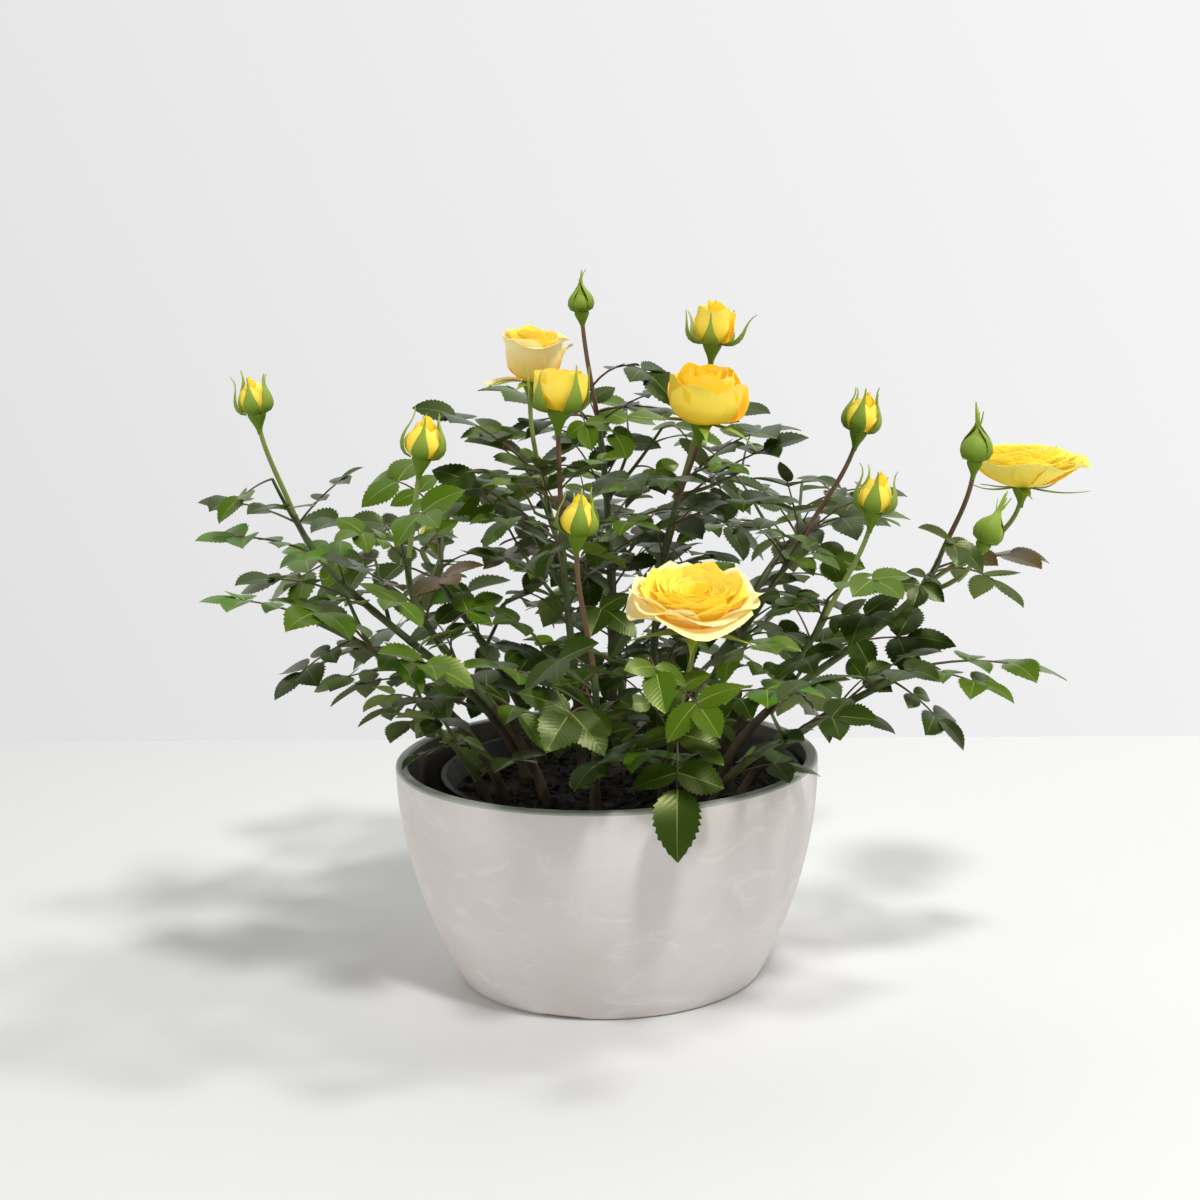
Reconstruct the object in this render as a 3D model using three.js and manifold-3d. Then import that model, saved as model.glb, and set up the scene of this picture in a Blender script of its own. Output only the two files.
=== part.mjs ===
// A miniature rose bush in a low bowl, in millimetres, +Z up, origin at the centre of the bowl's underside.
//
// The bowl is a turned shell with a parabolic side. A black grow pot stands in it, a little off centre,
// filled with soil. Canes rise from the soil and fan out. Where a cane enters its foliage, a separate solid
// carries on: a stem with side twigs, compound leaves of three or five leaflets, flower stalks, and roses or
// buds fused on. Each such mass keeps to the space that is nearer to its own cane than to any other.
import * as THREE from 'three';
import { mergeVertices } from 'three/addons/utils/BufferGeometryUtils.js';
import Module from 'manifold-3d';

const wasm = await Module();
wasm.setup();

// ---------- driving dimensions ----------
const GAP = 0.3; // clearance between solids that rest on or meet each other
const BOWL = { height: 110, rimRadius: 105, footRadius: 75.6, wall: 5.8, floor: 8, edge: 1 };
const GROW_POT = { shift: 7, footRadius: 58, rimRadius: 90, top: 104, wall: 1.8, lip: 3, lipDrop: 6 };
const SOIL_TOP = 94;
const BOWL_SIDES = 32;
const POT_SIDES = 20; // of the grow pot and the soil, whose corners face each other
const CANE = { flare: 3.2, footRadius: 2.6, entryRadius: 2.1, headRadius: 1.5, entry: 0.3 };
const STALK = { rootRadius: 1.4, tipRadius: 1.7 };
const TWIG = { rootRadius: 1.2, tipRadius: 0.8, length: [26, 40], rise: [25, 55], curl: 0.15 };
const LEAF = { length: [62, 80], sag: [0.08, 0.22], petiole: [0.95, 0.65], roll: 38, rise: [-42, 30] };
const LEAFLET = { widthShare: 0.75, widest: 0.45, thickness: 0.6, fold: 0.1, neck: 1.6 };
const PAIR_ANGLE = 72; // from the rachis, in degrees
const PAIR_DROOP = 0.12;
// Where the leaflet pairs of a leaf of five or three stand on it, how long they are, in shares of its
// length, and where its end leaflet starts.
const PAIRS = { 5: [{ at: 0.31, size: 0.28 }, { at: 0.6, size: 0.4 }], 3: [{ at: 0.5, size: 0.42 }] };
const END_AT = { 5: 0.66, 3: 0.57 };
// How far a leaf keeps from the border of its mass's space, a limb, a bloom, and the next leaflet's middle.
const SPACE = { margin: 0.9, limb: 1.1, bloom: 2, leaflets: 14 };
// The crown's envelope: a dome over its axis, and an underside that rises outwards, least on the right.
const CROWN = { axis: [10, 8], radius: 222, dome: [190, 104], underside: 114, rise: 0.55, lean: [-0.25, -0.2] };

// One row for each cane: where it leaves the soil, the head where its leafy part ends, how many leaf nodes
// it has, how far round they turn from the outward side, its blooms, and the leaves that reach furthest.
const CANES = [
  { name: 'left_high', foot: [-40, 12], head: [-150, 2, 234], nodes: 4, turn: 120,
    blooms: [{ kind: 'bud', size: 17, base: [-165, 0, 281], lean: [-0.12, 0] }],
    reach: [{ from: 0.97, tip: [-199, 12, 240] }, { from: 0.86, tip: [-194, -24, 226] },
      { from: 0.97, tip: [-116, 8, 256] }] },
  { name: 'left_low', foot: [-52, -12], head: [-138, -58, 194], nodes: 6, turn: 120, blooms: [],
    reach: [{ from: 0.97, tip: [-186, -62, 203] }, { from: 0.8, tip: [-152, -72, 158] },
      { from: 0.6, tip: [-140, -30, 152] }] },
  { name: 'left_front', foot: [-30, -32], head: [-90, -47, 219], nodes: 9, turn: 150,
    blooms: [{ kind: 'bud', size: 19, base: [-83, -45, 262], lean: [0.2, 0] }],
    reach: [{ from: 0.8, tip: [-128, -70, 224] }] },
  { name: 'low_left', foot: [-58, -34], head: [-92, -66, 150], nodes: 6, turn: 150, blooms: [], reach: [] },
  { name: 'centre', foot: [-12, -2], head: [-19, -14, 230], nodes: 12, turn: 180,
    blooms: [{ kind: 'goblet', size: 31, base: [-19, -15, 280], lean: [0.05, -0.05] },
      { kind: 'cup', size: 35, base: [-33, 20, 292], lean: [0.1, -0.1], from: 0.8 }],
    reach: [{ from: 0.96, tip: [-62, -34, 232] }, { from: 0.9, tip: [-82, 4, 254] }] },
  { name: 'centre_back', foot: [4, 40], head: [0, 62, 270], nodes: 9, turn: 180,
    blooms: [{ kind: 'tight', size: 12, base: [-7, 62, 324], lean: [-0.05, 0] }],
    reach: [{ from: 1, tip: [42, 48, 288] }, { from: 0.99, tip: [-62, 66, 288] }] },
  { name: 'centre_right', foot: [22, 8], head: [38, 14, 234], nodes: 10, turn: 180,
    blooms: [{ kind: 'cup', size: 43, base: [50, 8, 271], lean: [0.15, -0.15] },
      { kind: 'bud', size: 20, base: [58, 42, 307], lean: [0.1, 0], from: 0.86 }],
    reach: [{ from: 0.99, tip: [104, 18, 264] }, { from: 0.9, tip: [96, -16, 236] }] },
  { name: 'front_left', foot: [-6, -46], head: [-5, -72, 168], nodes: 7, turn: 160,
    blooms: [{ kind: 'bud', size: 18, base: [-11, -70, 228], lean: [0.1, 0] }],
    reach: [{ from: 0.8, tip: [-66, -102, 176] }] },
  { name: 'front_right', foot: [26, -42], head: [35, -78, 154], nodes: 6, turn: 160,
    blooms: [{ kind: 'open', size: 65, base: [41, -82, 176], lean: [0.02, -0.28] }],
    reach: [{ from: 0.86, tip: [28, -127, 92], sag: 0.2 }, { from: 0.97, tip: [98, -104, 160] }] },
  { name: 'right_high', foot: [38, 26], head: [104, 42, 212], nodes: 7, turn: 150,
    blooms: [{ kind: 'bud', size: 19, base: [131, 42, 261], lean: [0.25, 0] }],
    reach: [{ from: 0.97, tip: [90, 22, 252] }] },
  { name: 'right_middle', foot: [50, -8], head: [106, -34, 184], nodes: 7, turn: 150,
    blooms: [{ kind: 'bud', size: 18, base: [128, -34, 230], lean: [0.2, 0] }],
    reach: [{ from: 0.99, tip: [82, -66, 200] }] },
  { name: 'right_far', foot: [58, 12], head: [165, -4, 205], nodes: 2, turn: 120,
    blooms: [{ kind: 'tight', size: 15, base: [181, -24, 250], lean: [0.1, 0] },
      { kind: 'flat', size: 60, base: [205, 6, 236], lean: [0.15, 0], from: 0.86 },
      { kind: 'tight', size: 14, base: [178, -44, 216], lean: [0.45, 0], from: 0.8 }],
    reach: [{ from: 0.96, tip: [224, 18, 198] }] },
  { name: 'right_low', foot: [66, -22], head: [152, -40, 160], nodes: 6, turn: 120, blooms: [],
    reach: [{ from: 0.99, tip: [221, -36, 150] }, { from: 0.84, tip: [168, -56, 122] },
      { from: 0.95, tip: [190, -64, 146] }] },
  { name: 'low_right', foot: [48, -52], head: [84, -84, 138], nodes: 6, turn: 150, blooms: [], reach: [] },
  { name: 'back_left', foot: [-34, 48], head: [-96, 104, 200], nodes: 3, turn: 150,
    blooms: [{ kind: 'bud', size: 18, base: [-104, 122, 224], lean: [-0.2, 0.3] }],
    reach: [{ from: 0.9, tip: [-168, 122, 214] }] },
  { name: 'back', foot: [10, 62], head: [14, 132, 190], nodes: 3, turn: 150,
    blooms: [{ kind: 'cup', size: 42, base: [18, 150, 208], lean: [0.05, 0.35] }],
    reach: [{ from: 0.97, tip: [8, 196, 186] }] },
  { name: 'back_right', foot: [46, 50], head: [112, 104, 208], nodes: 4, turn: 150, blooms: [],
    reach: [{ from: 0.9, tip: [172, 130, 206] }] },
];

// ---------- vectors, numbers and seeded chance ----------
const V = (x, y, z) => new THREE.Vector3(x, y, z);
const UP = V(0, 0, 1);
const rad = THREE.MathUtils.degToRad;
const between = ([low, high], share) => low + (high - low) * share;
const list = (count, make) => Array.from({ length: count }, (_, i) => make(i));

// The way that a bearing round the Z axis and a rise above the level point, both in radians.
const wayTo = (bearing, rise) => V(Math.cos(bearing) * Math.cos(rise), Math.sin(bearing) * Math.cos(rise),
  Math.sin(rise));

// A repeatable random number from 0 to 1, by Lehmer's rule.
function seeded(seed) {
  const modulus = 2147483647;
  let state = (seed * 7919 + 104729) % modulus;
  return () => {
    state = (state * 48271) % modulus;
    return state / modulus;
  };
}

// ---------- solids ----------
const MERGE = 1e-3; // vertices nearer to each other than this become one

function fromFaces(faces) {
  const geometry = new THREE.BufferGeometry();
  const positions = faces.flat().flatMap((corner) => [corner.x, corner.y, corner.z]);
  geometry.setAttribute('position', new THREE.Float32BufferAttribute(positions, 3));
  return geometry;
}

// The triangles from each edge of a loop to a middle point.
const fan = (loop, middle) => loop.map((corner, i) => [corner, loop[(i + 1) % loop.length], middle]);

// The two triangles of each quad between two rings of as many corners.
const band = (low, high) => low.flatMap((corner, i) => {
  const next = (i + 1) % low.length;
  return [[corner, low[next], high[next]], [corner, high[next], high[i]]];
});

// A closed geometry as a manifold-3d solid.
function solid(geometry) {
  const bare = geometry.index ? geometry.toNonIndexed() : geometry.clone();
  bare.deleteAttribute('normal');
  bare.deleteAttribute('uv');
  const merged = mergeVertices(bare, MERGE);
  const mesh = new wasm.Mesh({
    numProp: 3,
    vertProperties: new Float32Array(merged.attributes.position.array),
    triVerts: new Uint32Array(merged.index.array),
  });
  return new wasm.Manifold(mesh);
}

function geometryOf(manifold) {
  const mesh = manifold.getMesh();
  const positions = new Float32Array(mesh.numVert * 3);
  for (let i = 0; i < mesh.numVert; i += 1) {
    positions.set(mesh.vertProperties.subarray(i * mesh.numProp, i * mesh.numProp + 3), i * 3);
  }
  const geometry = new THREE.BufferGeometry();
  geometry.setAttribute('position', new THREE.BufferAttribute(positions, 3));
  geometry.setIndex(new THREE.BufferAttribute(mesh.triVerts, 1));
  geometry.computeVertexNormals();
  return geometry;
}

// The union of many solids, joined in pairs so that no step is large. Only the largest body is kept: loose
// scraps are dropped, and any hollow that the joining sealed is filled.
function fuse(solids) {
  let round = solids;
  while (round.length > 1) {
    const odd = round.length % 2 ? [round.at(-1)] : [];
    const joined = list(Math.floor(round.length / 2), (i) => round[2 * i].add(round[2 * i + 1]));
    round = [...joined, ...odd];
  }
  let whole = solid(geometryOf(round[0]));
  let bodies = whole.decompose();
  while (bodies.length > 1) {
    const largest = bodies.sort((a, b) => b.volume() - a.volume())[0];
    whole = solid(geometryOf(largest));
    bodies = whole.decompose();
  }
  return whole;
}

const plant = new THREE.Group();
plant.name = 'potted_rose_bush';

function addNode(name, geometry, color, roughness) {
  const mesh = new THREE.Mesh(geometry, new THREE.MeshStandardMaterial({ color, roughness, metalness: 0 }));
  mesh.name = name;
  plant.add(mesh);
}

// ---------- bowl: turned stoneware shell whose side is a parabola, steepest at the rim ----------
function bowlRadius(z) {
  const fromRim = 1 - z / BOWL.height;
  return BOWL.rimRadius - (BOWL.rimRadius - BOWL.footRadius) * fromRim * fromRim;
}

function turned(profile, segments) {
  const points = profile.map(([radius, z]) => new THREE.Vector2(radius, z));
  return new THREE.LatheGeometry(points, segments).rotateX(Math.PI / 2);
}

function bowl() {
  const { height, wall, floor, edge } = BOWL;
  const outer = [0.02, 0.16, 0.36, 0.64].map((share) => [bowlRadius(share * height), share * height]);
  const inner = [0.64, 0.36].map((share) => [bowlRadius(share * height) - wall, share * height]);
  const rim = [[bowlRadius(height), height - edge], [bowlRadius(height) - edge, height],
    [bowlRadius(height) - wall + edge, height], [bowlRadius(height) - wall, height - edge]];
  const profile = [[0, 0], [bowlRadius(0) - edge, 0], ...outer, ...rim, ...inner,
    [bowlRadius(floor) - wall, floor], [0, floor]];
  addNode('bowl', turned(profile, BOWL_SIDES), '#d9d4cd', 0.75);
}

// ---------- grow pot: thin black moulded pot with a turned-out lip, standing on the bowl's floor ----------
const growPotFoot = BOWL.floor + GAP;

function growPotRadius(z) {
  const share = (z - growPotFoot) / (GROW_POT.top - growPotFoot);
  return between([GROW_POT.footRadius, GROW_POT.rimRadius - GROW_POT.lip], share);
}

function growPot() {
  const { wall, lip, lipDrop, top, rimRadius, shift } = GROW_POT;
  const lipFoot = top - lipDrop;
  const floor = growPotFoot + wall;
  const profile = [
    [0, growPotFoot], [growPotRadius(growPotFoot), growPotFoot],
    [growPotRadius(lipFoot), lipFoot], [growPotRadius(lipFoot) + lip, lipFoot + 1],
    [rimRadius, top - 1], [rimRadius - 1, top], [rimRadius - lip - 1, top],
    [growPotRadius(lipFoot) - wall, lipFoot], [growPotRadius(floor) - wall, floor], [0, floor],
  ];
  addNode('grow_pot', turned(profile, POT_SIDES).translate(shift, 0, 0), '#23211f', 0.5);
}

// ---------- soil: one body that fills the grow pot up to the flat top that the canes rise from ----------
function soil() {
  const floor = growPotFoot + GROW_POT.wall + GAP;
  const inner = (z) => growPotRadius(z) - GROW_POT.wall - GAP;
  const profile = [[0, floor], [inner(floor), floor], [inner(SOIL_TOP), SOIL_TOP], [0, SOIL_TOP]];
  addNode('soil', turned(profile, POT_SIDES).translate(GROW_POT.shift, 0, 0), '#2c1e16', 0.95);
}

// ---------- kinds of bloom ----------
// Each kind has a body of rings, [radius, height, wave], where the wave is the share by which the radius
// swells and shrinks from petal to petal. It may have sepals. Its space is the ellipsoid that holds it: the
// height of its centre over the bloom's base, its radius and half its height. Here r is the bloom's radius.
const HIP = [[1.8, -1], [3.2, 2.5]];

function wideRose(r) {
  return {
    petals: 7,
    rings: [...HIP, [r * 0.5, 6], [r * 0.92, 9.5, 0.07], [r * 0.86, 12, 0.07], [r * 0.55, 19], [2, 18]],
    space: { up: 11, radius: r + 2, half: 15 },
  };
}

function closedRose(r, tall, sepalRise) {
  return {
    petals: 5,
    rings: [...HIP, [r * 0.68, 5 + tall * 0.18], [r * 0.92, 5 + tall * 0.5, 0.04],
      [r * 0.9, 5 + tall * 0.8, 0.1], [r * 0.5, 5 + tall], [2, 4 + tall]],
    sepals: { rise: rad(sepalRise), length: r * 1.2, width: 5 },
    space: { up: 4 + r * 0.75, radius: r * 1.35, half: r * 1.3 },
  };
}

function budWithSepals(r, sepalRise, sepalLength) {
  const tall = r * 2.3;
  return {
    petals: 4,
    rings: [...HIP, [r * 0.92, 4 + tall * 0.3], [r * 0.7, 4 + tall * 0.65], [r * 0.25, 4 + tall]],
    sepals: { rise: rad(sepalRise), length: tall * sepalLength, width: r * 0.7 },
    space: { up: 3 + r * 1.2, radius: r * 1.5, half: r * 2 },
  };
}

const BLOOMS = {
  open: (r) => wideRose(r),
  flat: (r) => wideRose(r),
  cup: (r) => closedRose(r, r * 1.25, 10),
  goblet: (r) => closedRose(r, r * 1.5, 50),
  bud: (r) => budWithSepals(r, 58, 1.1),
  tight: (r) => budWithSepals(r, 80, 1.25),
};

// ---------- canes and flower stalks: the centre lines that everything else follows ----------
const PATH_STEPS = 12;
const STALK_STEPS = 4;
const pointsOf = (curve, steps, from = 0, to = 1) => list(steps + 1,
  (i) => curve.getPoint(from + ((to - from) * i) / steps));

// A cane goes up out of the soil, bends outwards and ends at its head, pointing at its first bloom if any.
function canePath({ foot, head, blooms }) {
  const start = V(foot[0], foot[1], SOIL_TOP + GAP);
  const end = V(...head);
  const outward = V(end.x - start.x, end.y - start.y, 0);
  const aim = blooms.length ? V(...blooms[0].base).sub(end) : outward.clone().setZ(outward.length() * 0.5);
  const low = start.clone().addScaledVector(outward, 0.14).setZ(start.z + (end.z - start.z) * 0.42);
  const high = end.clone().addScaledVector(aim.normalize(), -0.3 * end.distanceTo(start));
  return new THREE.CubicBezierCurve3(start, low, high, end);
}

// A flower stalk leaves its cane in line with it, or at a fork, and ends upright under its bloom.
function stalkPath(path, { base, axis, from }) {
  const start = path.getPoint(from ?? 1);
  const third = base.distanceTo(start) / 3;
  const leave = from ? base.clone().sub(start).normalize() : path.getTangent(1);
  const low = start.clone().addScaledVector(leave, third);
  const high = base.clone().addScaledVector(axis, -third);
  return new THREE.CubicBezierCurve3(start, low, high, base);
}

function layOut(row) {
  const path = canePath(row);
  const blooms = row.blooms.map(({ kind, size, base, lean, from }) => {
    const bloom = { ...BLOOMS[kind](size / 2), base: V(...base), axis: V(...lean, 1).normalize(), from };
    bloom.centre = bloom.base.clone().addScaledVector(bloom.axis, bloom.space.up);
    bloom.stalk = stalkPath(path, bloom);
    return bloom;
  });
  const lines = [pointsOf(path, PATH_STEPS), ...blooms.map(({ stalk }) => pointsOf(stalk, STALK_STEPS))];
  const bare = pointsOf(path, STALK_STEPS, 0, CANE.entry);
  const reach = row.reach.map(({ from, tip, sag }) => leafShape(path.getPoint(from), V(...tip),
    sag ?? LEAF.sag[0], 0, 5));
  return { ...row, path, blooms, lines, bare, reach };
}

// ---------- leaves ----------
// The corners of one leaflet: its tip, its widest points, lifted by the fold along the midrib, and the two
// sides of the midrib between them.
function leaflet(base, way, upright, size) {
  const normal = upright.clone().addScaledVector(way, -upright.dot(way)).normalize();
  const across = way.clone().cross(normal);
  const middle = base.clone().addScaledVector(way, size * LEAFLET.widest);
  const lifted = middle.clone().addScaledVector(normal, size * LEAFLET.fold);
  return {
    tip: base.clone().addScaledVector(way, size),
    left: lifted.clone().addScaledVector(across, (-size * LEAFLET.widthShare) / 2),
    right: lifted.clone().addScaledVector(across, (size * LEAFLET.widthShare) / 2),
    top: middle.clone().addScaledVector(normal, LEAFLET.thickness / 2),
    under: middle.clone().addScaledVector(normal, -LEAFLET.thickness / 2),
  };
}

// A compound leaf: an arched rachis from its root to its tip, pairs of leaflets on it, and an end leaflet.
function leafShape(root, tip, sag, roll, leaflets) {
  const span = tip.clone().sub(root);
  const length = span.length();
  const point = (share) => root.clone().addScaledVector(span, share)
    .addScaledVector(UP, 4 * sag * length * share * (1 - share));
  const frame = (share) => {
    const along = point(share + 0.02).sub(point(share - 0.02)).normalize();
    const side = along.clone().cross(Math.abs(along.z) > 0.97 ? V(0, 1, 0) : UP).normalize()
      .applyAxisAngle(along, roll);
    return { centre: point(share), along, side, normal: side.clone().cross(along).normalize() };
  };
  const pairs = PAIRS[leaflets].map(({ at, size }) => {
    const { centre, along, side, normal } = frame(at);
    const hands = [-1, 1].map((hand) => {
      const way = along.clone().multiplyScalar(Math.cos(rad(PAIR_ANGLE)))
        .addScaledVector(side, hand * Math.sin(rad(PAIR_ANGLE)))
        .addScaledVector(normal, -PAIR_DROOP).normalize();
      return leaflet(centre, way, normal, size * length);
    });
    return { at, hands };
  });
  const endAt = END_AT[leaflets];
  const endWay = tip.clone().sub(point(endAt));
  const endSize = endWay.length();
  const end = leaflet(point(endAt), endWay.normalize(), frame((1 + endAt) / 2).normal, endSize);
  return { length, frame, pairs, endAt, end };
}

// The leaf as one closed surface. Its rachis is three-sided: left, right and under. A leaflet opens out of a
// side of the rachis between two rings, and the end leaflet closes its last ring.
function leafSolid({ length, frame, pairs, endAt, end }) {
  const neck = LEAFLET.neck / 2 / length;
  const ringAt = (share) => {
    const { centre, side, normal } = frame(share);
    const radius = between(LEAF.petiole, share / endAt);
    const corner = (degrees) => centre.clone().addScaledVector(side, radius * Math.cos(rad(degrees)))
      .addScaledVector(normal, radius * Math.sin(rad(degrees)));
    return { left: corner(150), right: corner(30), under: corner(270) };
  };
  const rings = [0, ...pairs.flatMap(({ at }) => [at - neck, at + neck]), endAt].map(ringAt);
  const faces = [[rings[0].right, rings[0].left, rings[0].under]];
  const quad = (a, b, c, d) => faces.push([a, b, c], [a, c, d]);
  for (let i = 0; i + 1 < rings.length; i += 1) {
    const near = rings[i];
    const far = rings[i + 1];
    quad(near.right, far.right, far.left, near.left);
    if (i % 2 === 0) {
      quad(near.left, far.left, far.under, near.under);
      quad(near.under, far.under, far.right, near.right);
      continue;
    }
    const [l, r] = pairs[(i - 1) / 2].hands;
    faces.push(...fan([near.left, far.left, l.right, l.tip, l.left], l.top));
    faces.push([near.under, l.left, l.tip], [near.under, l.tip, far.under], [far.under, l.tip, l.right]);
    faces.push([l.right, far.left, far.under], [near.left, l.left, near.under]);
    faces.push(...fan([far.right, near.right, r.right, r.tip, r.left], r.top));
    faces.push([far.under, r.left, r.tip], [far.under, r.tip, near.under], [near.under, r.tip, r.right]);
    faces.push([r.left, far.under, far.right], [r.right, near.right, near.under]);
  }
  const last = rings.at(-1);
  faces.push(...fan([last.left, last.right, end.right, end.tip, end.left], end.top));
  faces.push(...fan([last.under, end.left, end.tip, end.right], end.under));
  faces.push([last.left, end.left, last.under], [last.right, last.under, end.right]);
  return solid(fromFaces(faces));
}

const leafletsOf = (leaf) => [...leaf.pairs.flatMap(({ hands }) => hands), leaf.end];

// ---------- each mass's own space ----------
const canes = CANES.map(layOut);

function distanceToLine(point, line) {
  let nearest = Infinity;
  for (let i = 0; i + 1 < line.length; i += 1) {
    const along = line[i + 1].clone().sub(line[i]);
    const offset = point.clone().sub(line[i]);
    const share = Math.min(1, Math.max(0, offset.dot(along) / along.lengthSq()));
    nearest = Math.min(nearest, offset.addScaledVector(along, -share).length());
  }
  return nearest;
}

const distanceToCane = (point, cane) => Math.min(...cane.lines.map((line) => distanceToLine(point, line)));

function insideBloom(point, { centre, axis, space }) {
  const offset = point.clone().sub(centre);
  const along = offset.dot(axis);
  const out = offset.addScaledVector(axis, -along).length();
  return (out / (space.radius + SPACE.bloom)) ** 2 + (along / (space.half + SPACE.bloom)) ** 2 < 1;
}

// Over the soil a leaf may dip below the rim. Over the wall it stays above it.
function clearOfPot({ x, y, z }) {
  const overSoil = Math.hypot(x - GROW_POT.shift, y) < GROW_POT.rimRadius - 16;
  const overWall = !overSoil && Math.hypot(x, y) < BOWL.rimRadius + 4;
  return !overWall || z > BOWL.height + 3;
}

function insideCrown(point) {
  const x = point.x - CROWN.axis[0];
  const y = point.y - CROWN.axis[1];
  const out = Math.hypot(x, y);
  if (out > CROWN.radius) return false;
  const slope = CROWN.rise + (CROWN.lean[0] * x + CROWN.lean[1] * y) / out;
  const [middle, height] = CROWN.dome;
  return point.z > CROWN.underside + slope * Math.max(0, out - BOWL.rimRadius)
    && point.z < middle + height * Math.sqrt(1 - (out / CROWN.radius) ** 2);
}

// True if every point lies in the mass's own space, clear of the limbs, the blooms and the pot.
function keepsIn(points, cane) {
  return points.every((point) => {
    if (!clearOfPot(point) || !insideCrown(point)) return false;
    const own = distanceToCane(point, cane);
    for (const other of canes) {
      if (other.blooms.some((bloom) => insideBloom(point, bloom))) return false;
      if (other !== cane && distanceToCane(point, other) < own + SPACE.margin) return false;
    }
    return distanceToLine(point, cane.bare) > CANE.footRadius + SPACE.limb;
  });
}

function leafKeepsIn(leaf, cane) {
  const rachis = [leaf.endAt * 0.5, leaf.endAt].map((share) => leaf.frame(share).centre);
  const corners = leafletsOf(leaf).flatMap(({ tip, left, right, top }) => [tip, left, right, top]);
  return keepsIn([...rachis, ...corners], cane);
}

// True if a leaf would lie too near one of its own mass, or a reaching leaf of another.
function crowds(leaf, leaves) {
  const others = [...leaves, ...canes.flatMap((cane) => cane.reach)];
  const middles = others.flatMap((other) => leafletsOf(other).map(({ top }) => top));
  return leafletsOf(leaf).some(({ top }) => middles.some((middle) => middle.distanceTo(top) < SPACE.leaflets));
}

// ---------- the growth rule of one mass ----------
// A leaf tries many directions, ever smaller, and the first that fits is kept.
const TRIES = 40;
const SHRINK = [{ size: 1, leaflets: 5 }, { size: 0.85, leaflets: 5 }, { size: 0.7, leaflets: 5 },
  { size: 0.6, leaflets: 3 }];

function growLeaf(cane, leaves, root, facing, turn, scale, random) {
  for (let attempt = 0; attempt < TRIES; attempt += 1) {
    const step = SHRINK[Math.floor((attempt / TRIES) * SHRINK.length)];
    const bearing = facing + turn * (2 * random() - 1);
    const rise = rad(between(LEAF.rise, random()));
    const length = between(LEAF.length, random()) * scale * step.size;
    const sag = between(LEAF.sag, random());
    const roll = rad(LEAF.roll) * (2 * random() - 1);
    const tip = root.clone().addScaledVector(wayTo(bearing, rise), length);
    const leaf = leafShape(root, tip, sag, roll, step.leaflets);
    if (leafKeepsIn(leaf, cane) && !crowds(leaf, leaves)) {
      leaves.push(leaf);
      return true;
    }
  }
  return false;
}

// Nodes follow each other up the stem from where the cane enters, turning from side to side. Each has a
// leaf, and every second one a twig that ends in a leaf and has another halfway. Reaching leaves come first.
function growMass(cane, seed) {
  const facing = Math.atan2(cane.head[1] - CROWN.axis[1], cane.head[0] - CROWN.axis[0]);
  const turn = rad(cane.turn);
  const leaves = [...cane.reach];
  const twigs = [];
  for (let k = 0; k < cane.nodes; k += 1) {
    const random = seeded(seed * 100 + k);
    const root = cane.path.getPoint(between([CANE.entry, 1], (k + 0.6) / cane.nodes));
    const hand = k % 2 ? 1 : -1;
    growLeaf(cane, leaves, root, facing + hand * turn * 0.45, turn * 0.5, 1, random);
    if (hand < 0) continue;
    const twigHand = k % 4 === 1 ? -1 : 1;
    const bearing = facing + twigHand * turn * between([0.2, 0.6], random());
    const way = wayTo(bearing, rad(between(TWIG.rise, random())));
    const length = between(TWIG.length, random());
    const twig = [0, 0.5, 1].map((share) => root.clone().addScaledVector(way, length * share)
      .addScaledVector(UP, length * TWIG.curl * share * share));
    if (!keepsIn([twig[1], twig[2]], cane)) continue;
    if (!growLeaf(cane, leaves, twig[2], bearing, 0.9, 0.9, random)) continue;
    twigs.push(twig);
    growLeaf(cane, leaves, twig[1], bearing - twigHand * 0.8, 0.7, 0.85, random);
  }
  return { leaves, twigs };
}

// ---------- limbs ----------
// A tapering limb along a list of points, closed by flat ends. Its foot can be cut level.
function limb(points, radii, sides, levelFoot = false) {
  const rings = points.map((point, i) => {
    const before = points[Math.max(0, i - 1)];
    const after = points[Math.min(points.length - 1, i + 1)];
    const tangent = levelFoot && i === 0 ? UP.clone() : after.clone().sub(before).normalize();
    const across = (Math.abs(tangent.x) < 0.9 ? V(1, 0, 0) : V(0, 1, 0)).cross(tangent).normalize();
    const third = tangent.clone().cross(across);
    return list(sides, (k) => {
      const angle = (2 * Math.PI * k) / sides;
      return point.clone().addScaledVector(across, radii[i] * Math.cos(angle))
        .addScaledVector(third, radii[i] * Math.sin(angle));
    });
  });
  const first = rings[0];
  const last = rings.at(-1);
  const faces = rings.slice(1).flatMap((ring, i) => band(rings[i], ring));
  for (let k = 1; k + 1 < sides; k += 1) {
    faces.push([first[0], first[k + 1], first[k]], [last[0], last[k], last[k + 1]]);
  }
  return fromFaces(faces);
}

const taper = (from, to, count) => list(count, (i) => between([from, to], i / (count - 1)));

function bareCane(cane) {
  const points = pointsOf(cane.path, 5, 0, CANE.entry);
  const radii = [CANE.flare, ...taper(CANE.footRadius, CANE.entryRadius, points.length - 1)];
  addNode(`cane_${cane.name}`, limb(points, radii, 5, true), '#4c5a2c', 0.6);
}

// ---------- blooms ----------
// Moves a shape that was made upright at the origin to the end of the bloom's stalk.
function onStalk(bloom, geometry) {
  const turn = new THREE.Quaternion().setFromUnitVectors(UP, bloom.axis);
  return solid(geometry.applyQuaternion(turn).translate(bloom.base.x, bloom.base.y, bloom.base.z));
}

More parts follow.
